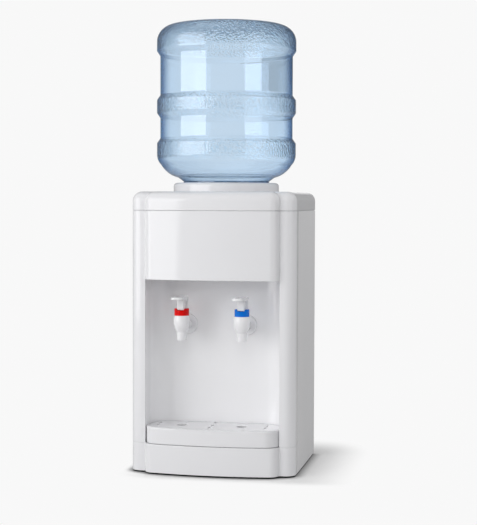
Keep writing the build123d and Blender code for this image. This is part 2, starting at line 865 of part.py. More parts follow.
# Taps: the same pieces for the hot and the cold tap
ring_bottom = tap_z + tap_top_rise
ring_top = ring_bottom + ring_height
pin_z = ring_top + pin_rise
seat_z = tap_z - tap_seat_drop
seal_top = seat_z + seal_thickness
stem_flange_top = seal_top + stem_flange_thickness
plug_bottom = ring_bottom - ring_plug_depth
spout_z = tap_z - tap_spout_drop
waist_z = tap_z - tap_waist_drop
spout_top = tap_z - tap_spout_top_drop
thread_back = liner_back + tap_thread
spigot_back = thread_back + spigot_length
flange_front = niche_back - tap_flange_thickness
notch_floor = ring_top - ring_notch
lever_bottom = notch_floor + lever_rest_gap
paddle_bottom = ring_top + lever_stem_height
paddle_top = paddle_bottom + paddle_thickness
paddle_end = tap_y - paddle_front
lever_back = tap_y + lever_heel
lever_front = tap_y - lever_heel
cheek_inner = stem_r + lever_slot_gap
lever_half = lever_width / 2
web_front = lever_front - lever_web
web_bottom = pin_z - lever_web_drop
foot_half = lever_half - ring_notch_slope
plate_half = lever_plate_width / 2


def coil_path(radius, low, high, turns, x, y):
    """Path of a coil in half-turn arcs, level where the arcs meet."""
    rise = (high - low) / (2 * turns)
    with BuildLine() as path:
        for half in range(2 * turns):
            side = 1 if half % 2 == 0 else -1
            z = low + half * rise
            ThreePointArc(
                (x + side * radius, y, z),
                (x, y + side * radius, z + rise / 2),
                (x - side * radius, y, z + rise),
            )
    return path.line


def foot_outline(x, gap, low, bend, high):
    """Outline across the lever's cheeks, grown by gap at its sides: upright above bend, tapered below."""
    half = lever_half + gap
    narrow = foot_half + gap
    with BuildSketch(Plane(origin=(x, tap_y, 0), x_dir=(1, 0, 0), z_dir=(0, -1, 0))) as outline:
        with BuildLine():
            Polyline(
                (-narrow, low),
                (narrow, low),
                (half, bend),
                (half, high),
                (-half, high),
                (-half, bend),
                close=True,
            )
        make_face()
    return outline.sketch


for kind, tap_x in tap_places.items():
    # Wall flange with a rounded front edge
    with BuildPart() as tap_flange:
        tube_back(tap_flange_r, 0, flange_front, niche_back, tap_x, tap_z)
        fillet(tap_flange.faces().sort_by(Axis.Y)[0].edges(), tap_flange_edge_r)
        tube_back(tap_tail_r + tap_tail_gap, 0, flange_front, niche_back, tap_x, tap_z, Mode.SUBTRACT)
    save(tap_flange, f"{kind}_tap_flange")

    # Body: bulb and spout about the upright axis, neck and tail to the wall, chamber inside
    with BuildPart() as tap_body:
        with BuildSketch(Plane(origin=(tap_x, tap_y, 0), x_dir=(1, 0, 0), z_dir=(0, -1, 0))):
            with BuildLine():
                Polyline(
                    (tap_spout_r, spout_top),
                    (tap_tip_r, spout_z),
                    (0, spout_z),
                    (0, ring_bottom),
                    (tap_lip_r, ring_bottom),
                    (tap_lip_r, ring_bottom - tap_lip_height),
                )
                Spline(
                    (tap_lip_r, ring_bottom - tap_lip_height),
                    (tap_bulb_r, tap_z + tap_bulb_rise),
                    (tap_waist_r, waist_z),
                    (tap_spout_r, spout_top),
                )
            make_face()
        revolve(axis=Axis((tap_x, tap_y, 0), (0, 0, 1)))
        tube_back(tap_neck_r, 0, tap_y, flange_front, tap_x, tap_z)
        tube_back(tap_tail_r, 0, flange_front, thread_back, tap_x, tap_z)
        tube_back(spigot_r, 0, thread_back, spigot_back, tap_x, tap_z)
        tube_up(tap_chamber_r, 0, seat_z, ring_bottom, tap_x, tap_y, Mode.SUBTRACT)
        tube_up(tap_outlet_r, 0, spout_z, seat_z, tap_x, tap_y, Mode.SUBTRACT)
        tube_back(tap_bore_r, 0, tap_y, spigot_back, tap_x, tap_z, Mode.SUBTRACT)
    save(tap_body, f"{kind}_tap_body")

    # Coloured ring: cap on the body with a plug into it and a hole for the valve stem
    with BuildPart() as tap_ring:
        tube_up(ring_r, 0, ring_bottom, ring_top, tap_x, tap_y)
        fillet(tap_ring.faces().sort_by(Axis.Z)[-1].edges(), ring_edge_r)
        tube_up(tap_chamber_r - ring_plug_gap, 0, plug_bottom, ring_bottom, tap_x, tap_y)
        tube_up(stem_r + stem_gap, 0, plug_bottom, ring_top, tap_x, tap_y, Mode.SUBTRACT)
        across = foot_outline(tap_x, ring_notch_gap, notch_floor, ring_top, paddle_bottom)
        extrude(across, amount=ring_r, both=True, mode=Mode.SUBTRACT)
    save(tap_ring, f"{kind}_tap_ring")

    # Valve stem with a flange for the spring and a cross hole for the lever pin
    with BuildPart() as tap_stem:
        tube_up(stem_flange_r, 0, seal_top, stem_flange_top, tap_x, tap_y)
        tube_up(stem_r, 0, stem_flange_top, pin_z + stem_head, tap_x, tap_y)
        rod_across(pin_r + pin_gap, (tap_x - stem_r, tap_x + stem_r), tap_y, pin_z, Mode.SUBTRACT)
    save(tap_stem, f"{kind}_tap_stem")

    # Valve seal under the stem
    with BuildPart() as tap_seal:
        tube_up(seal_r, 0, seat_z, seal_top, tap_x, tap_y)
    save(tap_seal, f"{kind}_tap_seal")

    # Return spring between the stem's flange and the ring's plug
    with BuildPart() as tap_spring:
        coil = coil_path(
            spring_coil_r,
            stem_flange_top + spring_wire_r,
            plug_bottom - spring_wire_r,
            spring_turns,
            tap_x,
            tap_y,
        )
        with BuildSketch(Plane(origin=coil @ 0, z_dir=coil % 0)):
            Circle(spring_wire_r)
        sweep(path=coil)
    save(tap_spring, f"{kind}_tap_spring")

    # Lever pin through the lever's cheeks and the stem
    with BuildPart() as tap_pin:
        rod_across(pin_r, (tap_x - lever_half, tap_x + lever_half), tap_y, pin_z)
    save(tap_pin, f"{kind}_tap_pin")

    # Lever: two cheeks astride the stem, a front wall, a back wall and a paddle that tapers to the front
    with BuildPart() as tap_lever:
        cheeks = foot_outline(tap_x, 0, lever_bottom, ring_top + lever_rest_gap, paddle_bottom)
        extrude(cheeks, amount=lever_heel, both=True)
        block(
            (tap_x - cheek_inner, tap_x + cheek_inner),
            (lever_front, lever_back),
            (lever_bottom, paddle_bottom),
            Mode.SUBTRACT,
        )
        block(
            (tap_x - foot_half, tap_x + foot_half),
            (web_front, lever_front),
            (web_bottom, paddle_top - paddle_edge_r),
        )
        fillet(tap_lever.edges().filter_by(Axis.Z).sort_by(Axis.Y)[:2], lever_web_r)
        block(
            (tap_x - plate_half, tap_x + plate_half),
            (lever_back - lever_plate, lever_back),
            (ring_top + lever_plate_gap, paddle_bottom),
        )
        with BuildSketch(Plane.YZ.offset(tap_x - paddle_width / 2)):
            with BuildLine():
                Polyline(
                    (lever_back, paddle_bottom),
                    (lever_back, paddle_top),
                    (paddle_end, paddle_top),
                    (paddle_end, paddle_top - paddle_tip_thickness),
                    (lever_front, paddle_bottom),
                    close=True,
                )
            make_face()
        extrude(amount=paddle_width)
        upright_edges = tap_lever.edges().filter_by(Axis.Z)
        fillet(upright_edges.sort_by(Axis.Y)[:2], paddle_corner_r)
        fillet(tap_lever.faces().sort_by(Axis.Z)[-1].edges(), paddle_edge_r)
        rod_across(
            pin_r + pin_gap, (tap_x - lever_half, tap_x + lever_half), tap_y, pin_z, Mode.SUBTRACT
        )
    save(tap_lever, f"{kind}_tap_lever")

    # Back nut behind the niche wall
    with BuildPart() as tap_nut:
        with BuildSketch(Plane.XZ.offset(-liner_back)):
            with Locations((tap_x, tap_z)):
                RegularPolygon(nut_flats / 2, 6, major_radius=False)
                Circle(tap_tail_r + nut_gap, mode=Mode.SUBTRACT)
        extrude(amount=-nut_thickness)
    save(tap_nut, f"{kind}_tap_nut")

# Shelf: sheet on the liner's ceiling between the side panels, with holes for the tank's spigots
shelf_ends = (pillar_face + shelf_front, back_inner - shelf_back_gap)
tank_outlets = [(cold_x, bottle_y), (feed_outlet_x, feed_y)]

with BuildPart() as tank_shelf:
    block((-side_inner, side_inner), shelf_ends, (liner_top, shelf_top))
    for side in (-1, 1):
        block(
            (side * (side_inner - sheet), side * side_inner),
            shelf_ends,
            (shelf_top, shelf_top + shelf_flange),
        )
    for x, y in tank_outlets:
        tube_up(spigot_r + spigot_gap, 0, liner_top, shelf_top, x, y, Mode.SUBTRACT)
save(tank_shelf, "tank_shelf")

# Cold tank: open pot with two outlet spigots that reach down through foam and shelf
spigot_low = liner_top - spigot_length

with BuildPart() as cold_tank:
    tube_up(cold_tank_r, 0, cold_bottom, cold_top, 0, bottle_y)
    tube_up(
        cold_tank_r - cold_tank_wall, 0, cold_bottom + cold_tank_wall, cold_top, 0, bottle_y, Mode.SUBTRACT
    )
    for x, y in tank_outlets:
        tube_up(spigot_r, 0, spigot_low, cold_bottom, x, y)
        tube_up(spigot_bore_r, 0, spigot_low, cold_bottom + cold_tank_wall, x, y, Mode.SUBTRACT)
save(cold_tank, "cold_tank")

# Cold tank lid with a hole for the feed probe's tail
with BuildPart() as cold_tank_lid:
    tube_up(cold_tank_r, probe_r + probe_gap, cold_top, cold_top + tank_lid_thickness, 0, bottle_y)
save(cold_tank_lid, "cold_tank_lid")

# Foam jacket: floor and wall round the cold tank, with a window for the cold block
block_half = cold_block_size / 2
block_heights = (cold_middle - block_half, cold_middle + block_half)
foam_r = cold_tank_r + foam

with BuildPart() as foam_jacket:
    tube_up(foam_r, 0, shelf_top, cold_top + tank_lid_thickness, 0, bottle_y)
    tube_up(
        cold_tank_r + foam_gap, 0, cold_bottom, cold_top + tank_lid_thickness, 0, bottle_y, Mode.SUBTRACT
    )
    for x, y in tank_outlets:
        tube_up(spigot_r + spigot_gap, 0, shelf_top, cold_bottom, x, y, Mode.SUBTRACT)
    block(
        (-block_half - block_gap, block_half + block_gap),
        (bottle_y, bottle_y + foam_r),
        (block_heights[0] - block_gap, block_heights[1] + block_gap),
        Mode.SUBTRACT,
    )
save(foam_jacket, "foam_jacket")

# Cold block: saddle between the tank's wall and the module
with BuildPart() as cold_block:
    block((-block_half, block_half), (bottle_y, module_front), block_heights)
    tube_up(cold_tank_r + block_gap, 0, cold_bottom, cold_top, 0, bottle_y, Mode.SUBTRACT)
save(cold_block, "cold_block")

# Thermoelectric module
module_half = module_size / 2

with BuildPart() as peltier_module:
    block(
        (-module_half, module_half),
        (module_front, sink_front),
        (cold_middle - module_half, cold_middle + module_half),
    )
save(peltier_module, "peltier_module")

# Heat sink: base plate and upright fins
with BuildPart() as heat_sink:
    block(
        (-sink_width / 2, sink_width / 2),
        (sink_front, fin_front),
        (cold_middle - sink_height / 2, cold_middle + sink_height / 2),
    )
    with Locations((0, fin_front + fin_depth / 2, cold_middle)):
        with GridLocations(fin_pitch, fin_pitch, fin_count, 1):
            Box(fin_thickness, fin_depth, sink_height)
save(heat_sink, "heat_sink")

# Fan frame: square frame with a round duct, a hub plate on four struts and a fixed shaft
fan_half = fan_size / 2
hub_plate_front = fan_back - fan_plate
rotor_back = hub_plate_front - fan_hub_gap
rotor_front = rotor_back - fan_hub_depth

with BuildPart() as fan_frame:
    block((-fan_half, fan_half), (fan_front, fan_back), (cold_middle - fan_half, cold_middle + fan_half))
    tube_back(fan_duct_r, 0, fan_front, fan_back, 0, cold_middle, Mode.SUBTRACT)
    tube_back(fan_hub_r, 0, hub_plate_front, fan_back, 0, cold_middle)
    for turn in (45, 135):
        with Locations(Location((0, (hub_plate_front + fan_back) / 2, cold_middle), (0, turn, 0))):
            Box(2 * fan_duct_r + fan_strut, fan_plate, fan_strut)
    tube_back(fan_shaft_r, 0, rotor_front, hub_plate_front, 0, cold_middle)
save(fan_frame, "fan_frame")

# Fan rotor: hub on the shaft with pitched blades
blade_end = fan_duct_r - blade_tip_gap
blade_root = fan_hub_r - fan_strut
blade_length = blade_end - blade_root
rotor_middle = (rotor_front + rotor_back) / 2

with BuildPart() as fan_rotor:
    for blade in range(blade_count):
        turn = 360 * blade / blade_count
        with Locations(Location((0, rotor_middle, cold_middle), (0, turn, 0))):
            with Locations(Location((blade_root + blade_length / 2, 0, 0), (blade_pitch, 0, 0))):
                Box(blade_length, blade_thickness, blade_chord)
    tube_back(fan_hub_r, 0, rotor_front, rotor_back, 0, cold_middle)
    tube_back(fan_shaft_r + fan_shaft_gap, 0, rotor_front, rotor_back, 0, cold_middle, Mode.SUBTRACT)
save(fan_rotor, "fan_rotor")

# Hot tank: closed pot with an outlet on top, an inlet to the right and a drain to the back
hot_right = hot_x + hot_tank_r
hot_rear = hot_y + hot_tank_r

with BuildPart() as hot_tank:
    tube_up(hot_tank_r, 0, hot_bottom, hot_top, hot_x, hot_y)
    tube_up(spigot_r, 0, hot_top, hot_top + spigot_length, hot_x, hot_y)
    rod_across(spigot_r, (hot_x, hot_right + spigot_length), hot_y, hot_inlet_z)
    tube_back(spigot_r, 0, hot_y, hot_rear + spigot_length, hot_x, hot_inlet_z)
    tube_up(
        hot_tank_r - hot_tank_wall,
        0,
        hot_bottom + hot_tank_wall,
        hot_top - hot_tank_wall,
        hot_x,
        hot_y,
        Mode.SUBTRACT,
    )
    tube_up(spigot_bore_r, 0, hot_inlet_z, hot_top + spigot_length, hot_x, hot_y, Mode.SUBTRACT)
    rod_across(spigot_bore_r, (hot_x, hot_right + spigot_length), hot_y, hot_inlet_z, Mode.SUBTRACT)
    tube_back(spigot_bore_r, 0, hot_y, hot_rear + spigot_length, hot_x, hot_inlet_z, Mode.SUBTRACT)
save(hot_tank, "hot_tank")

# Heater band round the hot tank, with its terminal box
band_low = hot_bottom + heater_rise
band_high = band_low + heater_height
band_inner = hot_tank_r + heater_gap
band_outer = band_inner + heater_thickness
box_low = band_low + (heater_height - heater_box) / 2

with BuildPart() as heater_band:
    block(
        (hot_x - heater_box / 2, hot_x + heater_box / 2),
        (hot_y - band_outer - heater_box_depth, hot_y),
        (box_low, box_low + heater_box),
    )
    tube_up(band_outer, 0, band_low, band_high, hot_x, hot_y)
    tube_up(band_inner, 0, band_low, band_high, hot_x, hot_y, Mode.SUBTRACT)
save(heater_band, "heater_band")

# Thermostats on the hot tank's top
with BuildPart() as thermostats:
    for side in (-1, 1):
        place = hot_x + side * thermostat_spacing / 2
        tube_up(thermostat_r, 0, hot_top, hot_top + thermostat_height, place, hot_y)
save(thermostats, "thermostats")

# Hot tank stand: plate on two folded legs with feet on the base pan
stand_left = hot_x - stand_size / 2
stand_right = hot_x + stand_size / 2
stand_ends = (hot_y - stand_size / 2, hot_y + stand_size / 2)

with BuildPart() as hot_tank_stand:
    block((stand_left, stand_right), stand_ends, (hot_bottom - sheet, hot_bottom))
    block((stand_left, stand_left + sheet), stand_ends, (floor_top, hot_bottom))
    block((stand_right - sheet, stand_right), stand_ends, (floor_top, hot_bottom))
    block((stand_left, stand_left + stand_foot), stand_ends, (floor_top, floor_top + sheet))
    block((stand_right - stand_foot, stand_right), stand_ends, (floor_top, floor_top + sheet))
save(hot_tank_stand, "hot_tank_stand")


# Hoses: tubes over the spigots at their ends, one bend each
def hose(name, points):
    """A hose along straight runs with a round bend between them."""
    with BuildPart() as tube:
        with BuildLine() as route:
            FilletPolyline(*points, radius=hose_bend_r)
        with BuildSketch(Plane(origin=route.line @ 0, z_dir=route.line % 0)):
            Circle(hose_r)
            Circle(spigot_r + hose_fit, mode=Mode.SUBTRACT)
        sweep(path=route.line)
    save(tube, name)


hose_start = thread_back + hose_end_gap
hose_top = liner_top - hose_end_gap
hose("cold_hose", [(cold_x, hose_start, tap_z), (cold_x, bottle_y, tap_z), (cold_x, bottle_y, hose_top)])
hose(
    "hot_hose",
    [(hot_x, hose_start, tap_z), (hot_x, hot_y, tap_z), (hot_x, hot_y, hot_top + hose_end_gap)],
)
hose(
    "feed_hose",
    [
        (feed_outlet_x, feed_y, hose_top),
        (feed_outlet_x, feed_y, hot_inlet_z),
        (hot_right + hose_end_gap, feed_y, hot_inlet_z),
    ],
)

# Drain pipe from the hot tank through the back panel, with a flange inside it
drain_end = back_face + drain_stub

with BuildPart() as drain_pipe:
    tube_back(drain_pipe_r, 0, hot_rear + hose_end_gap, drain_end, hot_x, hot_inlet_z)
    tube_back(drain_flange_r, 0, back_inner - drain_flange_thickness, back_inner, hot_x, hot_inlet_z)
    tube_back(spigot_r + hose_fit, 0, hot_rear, drain_end, hot_x, hot_inlet_z, Mode.SUBTRACT)
save(drain_pipe, "drain_pipe")

# Drain cap over the pipe's end
cap_front = back_face + drain_cap_stand
cap_hollow_r = drain_pipe_r + drain_cap_gap

with BuildPart() as drain_cap:
    tube_back(drain_cap_r, 0, cap_front, drain_end + drain_cap_gap + drain_cap_wall, hot_x, hot_inlet_z)
    tube_back(cap_hollow_r, 0, cap_front, drain_end + drain_cap_gap, hot_x, hot_inlet_z, Mode.SUBTRACT)
save(drain_cap, "drain_cap")

# Power board on its standoffs, with choke, capacitors and relays
board_low = floor_top + standoff_height
board_top = board_low + board_thickness
standoff_places = [
    (board_x + side * (board_length / 2 - standoff_inset), board_y + end * (board_width / 2 - standoff_inset))
    for side in (-1, 1)
    for end in (-1, 1)
]

with BuildPart() as board_standoffs:
    for x, y in standoff_places:
        tube_up(standoff_r, 0, floor_top, board_low, x, y)
save(board_standoffs, "board_standoffs")

with BuildPart() as power_board:
    with Locations((board_x, board_y, board_low + board_thickness / 2)):
        Box(board_length, board_width, board_thickness)
    with Locations((board_x - component_step, board_y, board_top + choke_height / 2)):
        Box(choke_size, choke_size, choke_height)
    with Locations((board_x, board_y, board_top + capacitor_height / 2)):
        with GridLocations(component_step, component_step, 1, 2):
            Cylinder(capacitor_r, capacitor_height)
    with Locations((board_x + component_step, board_y, board_top + relay_height / 2)):
        with GridLocations(component_step, component_step, 1, 2):
            Box(relay_size, relay_size, relay_height)
save(power_board, "power_board")

# Switch housing in the back panel, with two rocker pockets
pocket_width = rocker_width + 2 * rocker_gap
pocket_half_height = rocker_half_height + rocker_slack
rocker_offset = (pocket_width + rocker_web) / 2
pivot_y = back_face - rocker_pivot_depth
flange_back = back_face + switch_flange_thickness
trunnion_reach = rocker_width / 2 + rocker_gap + rocker_pivot_length

with BuildPart() as switch_housing:
    with Locations((switch_x, back_face + switch_flange_thickness / 2, switch_z)):
        Box(switch_flange_width, switch_flange_thickness, switch_flange_height)
    with Locations((switch_x, back_face - switch_body_depth / 2, switch_z)):
        Box(switch_body_width, switch_body_depth, switch_body_height)
    for side in (-1, 1):
        rocker_x = switch_x + side * rocker_offset
        block(
            (rocker_x - pocket_width / 2, rocker_x + pocket_width / 2),
            (back_face - switch_body_depth + switch_wall, flange_back),
            (switch_z - pocket_half_height, switch_z + pocket_half_height),
            Mode.SUBTRACT,
        )
        rod_across(
            rocker_pivot_r + rocker_pivot_gap,
            (rocker_x - trunnion_reach - rocker_pivot_gap, rocker_x + trunnion_reach + rocker_pivot_gap),
            pivot_y,
            switch_z,
            Mode.SUBTRACT,
        )
save(switch_housing, "switch_housing")

# Rockers, tipped to one side at rest, on trunnions in the housing
tilt = radians(rocker_tilt)
rocker_tip = rocker_half_height - rocker_bevel

for name, side in (("heat_switch", -1), ("cool_switch", 1)):
    rocker_x = switch_x + side * rocker_offset
    rocker_side = (rocker_x - rocker_width / 2, pivot_y, switch_z)
    with BuildPart() as rocker:
        with BuildSketch(Plane(origin=rocker_side, x_dir=(0, cos(tilt), sin(tilt)), z_dir=(1, 0, 0))):
            with BuildLine():
                Polyline(
                    (rocker_middle, 0),
                    (rocker_end, rocker_tip),
                    (rocker_back, rocker_half_height),
                    (-rocker_back, rocker_edge),
                    (-rocker_back, -rocker_edge),
                    (rocker_back, -rocker_half_height),
                    (rocker_end, -rocker_tip),
                    close=True,
                )
            make_face()
        extrude(amount=rocker_width)
        rod_across(
            rocker_pivot_r, (rocker_x - trunnion_reach, rocker_x + trunnion_reach), pivot_y, switch_z
        )
    save(rocker, name)

# Cord gland in the back panel
with BuildPart() as cord_gland:
    tube_back(gland_r, 0, back_face - gland_depth, back_face, gland_x, gland_z)
    tube_back(gland_flange_r, 0, back_face, back_face + gland_flange_thickness, gland_x, gland_z)
    tube_back(
        gland_bore_r,
        0,
        back_face - gland_depth,
        back_face + gland_flange_thickness,
        gland_x,
        gland_z,
        Mode.SUBTRACT,
    )
save(cord_gland, "cord_gland")
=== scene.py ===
import math

import bmesh
import bpy
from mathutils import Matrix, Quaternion, Vector


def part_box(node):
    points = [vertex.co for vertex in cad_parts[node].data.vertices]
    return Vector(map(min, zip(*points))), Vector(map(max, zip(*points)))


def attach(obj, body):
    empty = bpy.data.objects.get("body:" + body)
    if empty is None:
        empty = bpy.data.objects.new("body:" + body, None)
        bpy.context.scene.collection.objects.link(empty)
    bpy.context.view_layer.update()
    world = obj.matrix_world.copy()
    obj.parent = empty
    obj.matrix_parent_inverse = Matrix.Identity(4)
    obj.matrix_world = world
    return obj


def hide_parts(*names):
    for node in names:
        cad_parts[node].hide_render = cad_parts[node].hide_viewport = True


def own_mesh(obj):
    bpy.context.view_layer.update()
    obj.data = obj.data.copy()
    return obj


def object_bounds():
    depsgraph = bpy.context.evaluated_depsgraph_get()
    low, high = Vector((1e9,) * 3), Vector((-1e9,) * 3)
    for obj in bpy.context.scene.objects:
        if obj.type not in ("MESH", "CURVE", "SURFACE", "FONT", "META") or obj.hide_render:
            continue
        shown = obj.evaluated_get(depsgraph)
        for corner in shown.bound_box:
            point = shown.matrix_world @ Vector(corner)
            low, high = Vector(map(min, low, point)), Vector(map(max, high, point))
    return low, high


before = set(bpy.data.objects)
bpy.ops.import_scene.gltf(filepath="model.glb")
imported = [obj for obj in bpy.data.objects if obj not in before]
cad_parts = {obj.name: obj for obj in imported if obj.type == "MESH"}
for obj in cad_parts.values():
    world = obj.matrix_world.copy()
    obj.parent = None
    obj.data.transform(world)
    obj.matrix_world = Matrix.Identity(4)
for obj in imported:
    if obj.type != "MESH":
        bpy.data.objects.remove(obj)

cad_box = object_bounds()

bl_info = {
    "name": "Countertop water dispenser",
    "version": (1, 0, 0),
    "blender": (4, 5, 0),
    "location": "3D View > Sidebar > Dispenser",
    "description": "Dresses the packed water dispenser and sets its studio",
    "category": "Object",
}

FULL_TURN = 2 * math.pi
RIGHT = Vector((1.0, 0.0, 0.0))
UP = Vector((0.0, 0.0, 1.0))
OPAQUE = 1.0
WHITE = (1.0, 1.0, 1.0, OPAQUE)

# Ways that the lines of a bare metal are drawn out, and the gloss coat of moulded plastic
LINES_UP = (1.0, 1.0, 0.03)
LINES_ACROSS = (0.03, 1.0, 1.0)
MOULD_COAT = {"Coat Weight": 0.25, "Coat Roughness": 0.08}


# Settings that a user would change
def colour_setting(name, description, default):
    """A colour in a settings group."""
    return bpy.props.FloatVectorProperty(
        name=name, description=description, subtype="COLOR", size=3, min=0.0, max=1.0, default=default
    )


def length_setting(name, description, default):
    """A length in metres in a settings group."""
    return bpy.props.FloatProperty(
        name=name, description=description, unit="LENGTH", subtype="DISTANCE", min=0.0, default=default
    )


def share_setting(name, description, default):
    """A value from 0 to 1 in a settings group."""
    return bpy.props.FloatProperty(
        name=name, description=description, subtype="FACTOR", min=0.0, max=1.0, default=default
    )


def plain_setting(name, description, default, least):
    """A value without a unit in a settings group."""
    return bpy.props.FloatProperty(name=name, description=description, min=least, default=default)


def count_setting(name, description, default, least):
    """A whole number in a settings group."""
    return bpy.props.IntProperty(name=name, description=description, min=least, default=default)


def angle_setting(name, description, default):
    """An angle in radians in a settings group."""
    return bpy.props.FloatProperty(name=name, description=description, subtype="ANGLE", default=default)


def power_setting(name, description, default):
    """A lamp's power in watts in a settings group."""
    return bpy.props.FloatProperty(name=name, description=description, unit="POWER", default=default)


class CasingLooks(bpy.types.PropertyGroup):
    """Finishes of the moulded casing, the painted panels and their fixings."""

    plastic: colour_setting("Moulded white", "Colour of the moulded casing", (0.85, 0.85, 0.87))
    plastic_roughness: share_setting("Moulded roughness", "Roughness of the moulded casing", 0.045)
    # Partly painted light: the niche white is the casing's white made paler, standing in for more light in
    # the niche.
    niche: colour_setting("Niche white", "Colour of the moulded niche liner", (0.91, 0.91, 0.925))
    edge: length_setting("Edge rounding", "Rounding that the light sees along moulded edges", 0.0014)
    paint: colour_setting("Panel paint", "Colour of the painted steel panels", (0.82, 0.82, 0.83))
    paint_roughness: share_setting("Paint roughness", "Roughness of the panel paint", 0.5)
    peel: length_setting("Paint ripple", "Size of the ripple in the panel paint", 0.003)
    skin: length_setting("Moulded grain", "Size of the fine grain of moulded plastic", 0.0008)
    rubber: colour_setting("Foot rubber", "Colour of the rubber feet", (0.035, 0.035, 0.037))
    zinc: colour_setting("Zinc plate", "Colour of the plated screws", (0.58, 0.59, 0.60))


class BottleLooks(bpy.types.PropertyGroup):
    """Finishes of the bottle, its cap and the feed probe."""

    tint: colour_setting("Bottle tint", "Colour that the bottle's wall lets through", (0.28, 0.61, 0.88))
    density: plain_setting("Tint density", "Absorption of the wall per metre", 190.0, least=0.0)
    index: plain_setting("Refractive index", "Refractive index of the bottle's plastic", 1.56, least=1.0)
    # Painted shade: the edge tint darkens the bottle's wall where it is seen edge-on and at its foot.
    painted_edge_shade: colour_setting("Edge tint", "Tint of the bottle's wall seen along its edge", (0.01, 0.15, 0.37))
    # Painted shade: this colour darkens the furrows between the pebbles of the bands.
    painted_furrow_shade: colour_setting("Furrow tint", "Tint between the pebbles of the bands", (0.88, 0.945, 0.975))
    gloss: share_setting("Window roughness", "Roughness of the smooth windows", 0.015)
    frost: share_setting("Band roughness", "Roughness of the pebbled bands", 0.05)
    pebble: length_setting("Pebble size", "Size of the pebbles on the bands", 0.0038)
    pebble_depth: length_setting("Pebble depth", "Depth of the pebbles on the bands", 0.0004)
    band_edge: length_setting("Band edge", "Width over which the pebbles fade out", 0.003)
    # The foot line and foot shade set painted shade on the wall just above the collar.
    foot_line: length_setting("Foot line", "Height of the darker wall above the collar", 0.006)
    foot_shade: share_setting("Foot shade", "Share of the edge tint at the bottle's foot", 0.7)
    cap: colour_setting("Cap blue", "Colour of the bottle cap", (0.05, 0.18, 0.50))
    probe: colour_setting("Probe white", "Colour of the feed probe", (0.82, 0.83, 0.83))


class TapLooks(bpy.types.PropertyGroup):
    """Finishes of the two taps."""

    white: colour_setting("Tap white", "Colour of the tap bodies and levers", (0.88, 0.88, 0.9))
    hot: colour_setting("Hot ring", "Colour of the hot tap's ring", (0.74, 0.001, 0.001))
    cold: colour_setting("Cold ring", "Colour of the cold tap's ring", (0.001, 0.165, 0.68))
    roughness: share_setting("Tap roughness", "Roughness of the tap plastics", 0.14)
    seal: colour_setting("Seal", "Colour of the valve seals", (0.70, 0.67, 0.62))
    flutes: count_setting("Ring flutes", "Grip flutes round each coloured ring", 36, least=0)
    spring_wire: length_setting("Spring wire", "Thickness of the return springs' wire", 0.0012)
    spring_turns: count_setting("Spring turns", "Turns of each return spring", 4, least=1)


class InsideLooks(bpy.types.PropertyGroup):
    """Finishes of the tanks, the cooler, the hoses and the electric pieces."""

    steel: colour_setting("Tank steel", "Colour of the tanks", (0.62, 0.62, 0.63))
    aluminium: colour_setting("Aluminium", "Colour of the cold block and heat sink", (0.76, 0.77, 0.78))
    brass: colour_setting("Brass", "Colour of the board's standoffs", (0.70, 0.52, 0.25))
    foam: colour_setting("Foam", "Colour of the foam jacket", (0.86, 0.84, 0.79))
    bead: length_setting("Foam bead", "Size of the foam's beads", 0.004)
    ceramic: colour_setting("Ceramic", "Colour of the cooling module", (0.84, 0.84, 0.82))
    hose: colour_setting("Hose", "Colour of the silicone hoses", (0.80, 0.80, 0.78))
    black: colour_setting("Black plastic", "Colour of the fan, switches and gland", (0.028, 0.028, 0.03))
    board: colour_setting("Board", "Colour of the power board", (0.02, 0.14, 0.06))
    heat_rocker: colour_setting("Heat rocker", "Colour of the heat switch", (0.55, 0.015, 0.012))
    cool_rocker: colour_setting("Cool rocker", "Colour of the cool switch", (0.01, 0.30, 0.06))
    mark: colour_setting("Switch marks", "Colour of the on and off marks", (0.85, 0.85, 0.85))
    mark_height: length_setting("Mark height", "Height of the on and off marks", 0.0052)
    mark_stroke: length_setting("Mark stroke", "Width of the marks' lines", 0.001)
    mark_proud: length_setting("Mark relief", "Height of the marks above the rockers", 0.00025)


class StageLooks(bpy.types.PropertyGroup):
    """The floor, the studio light and the camera."""

    backdrop: share_setting("Backdrop", "Brightness of the backdrop and the far floor", 0.94)
    backdrop_half: angle_setting("Card half width", "Half the angle of the white card behind", 0.14)
    backdrop_fade: angle_setting("Card fade", "Angle over which the card ends", 0.16)
    dim_left: share_setting("Dim room left", "Brightness that gloss sees at the left", 0.28)
    dim_right: share_setting("Dim room right", "Brightness that gloss sees at the right", 0.06)
    flag: share_setting("Flag", "Brightness of the dark flag seen at the bottle's upper right", 0.62)
    clear: share_setting("Clear room", "Brightness that bent light in glass sees beside the card", 0.94)
    fill_left: share_setting("Fill left", "Room light from the left", 0.40)
    fill_right: share_setting("Fill right", "Room light from the right", 0.27)
    floor: share_setting("Floor", "Reflectance of the floor for the light it sends back", 0.55)
    floor_white: share_setting("Floor white", "Reflectance of the floor as the camera sees it", 0.9)
    floor_size: length_setting("Floor size", "Side of the floor", 30.0)
    shadow_reach: length_setting("Shadow reach", "Distance at which the floor's shadow has faded", 0.115)
    # The contact shadow is painted into the floor's colour.
    contact_reach: length_setting("Contact reach", "Distance at which the contact shadow has faded", 0.02)
    key: power_setting("Key light", "Power of the softbox at the left", 33.0)
    front: power_setting("Front light", "Power of the fill light in front", 23.0)
    side: power_setting("Side light", "Power of the softbox at the right", 5.6)
    side_fill: power_setting("Side fill", "Power of the fill light high at the right", 5.4)
    top: power_setting("Top light", "Power of the softbox overhead", 2.5)
    camera: bpy.props.FloatVectorProperty(
        name="Camera",
        description="Place of the camera",
        subtype="TRANSLATION",
        default=(0.548, -2.611, 0.515),
    )
    yaw: angle_setting("Camera yaw", "Turn of the camera to the left", 0.19712)
    pitch: angle_setting("Camera pitch", "Tilt of the camera downwards", 0.04569)
    roll: angle_setting("Camera roll", "Roll of the camera to the left", 0.003)
    lens: bpy.props.FloatProperty(
        name="Lens", description="Focal length on a 36 mm sensor", unit="CAMERA", default=94.16
    )


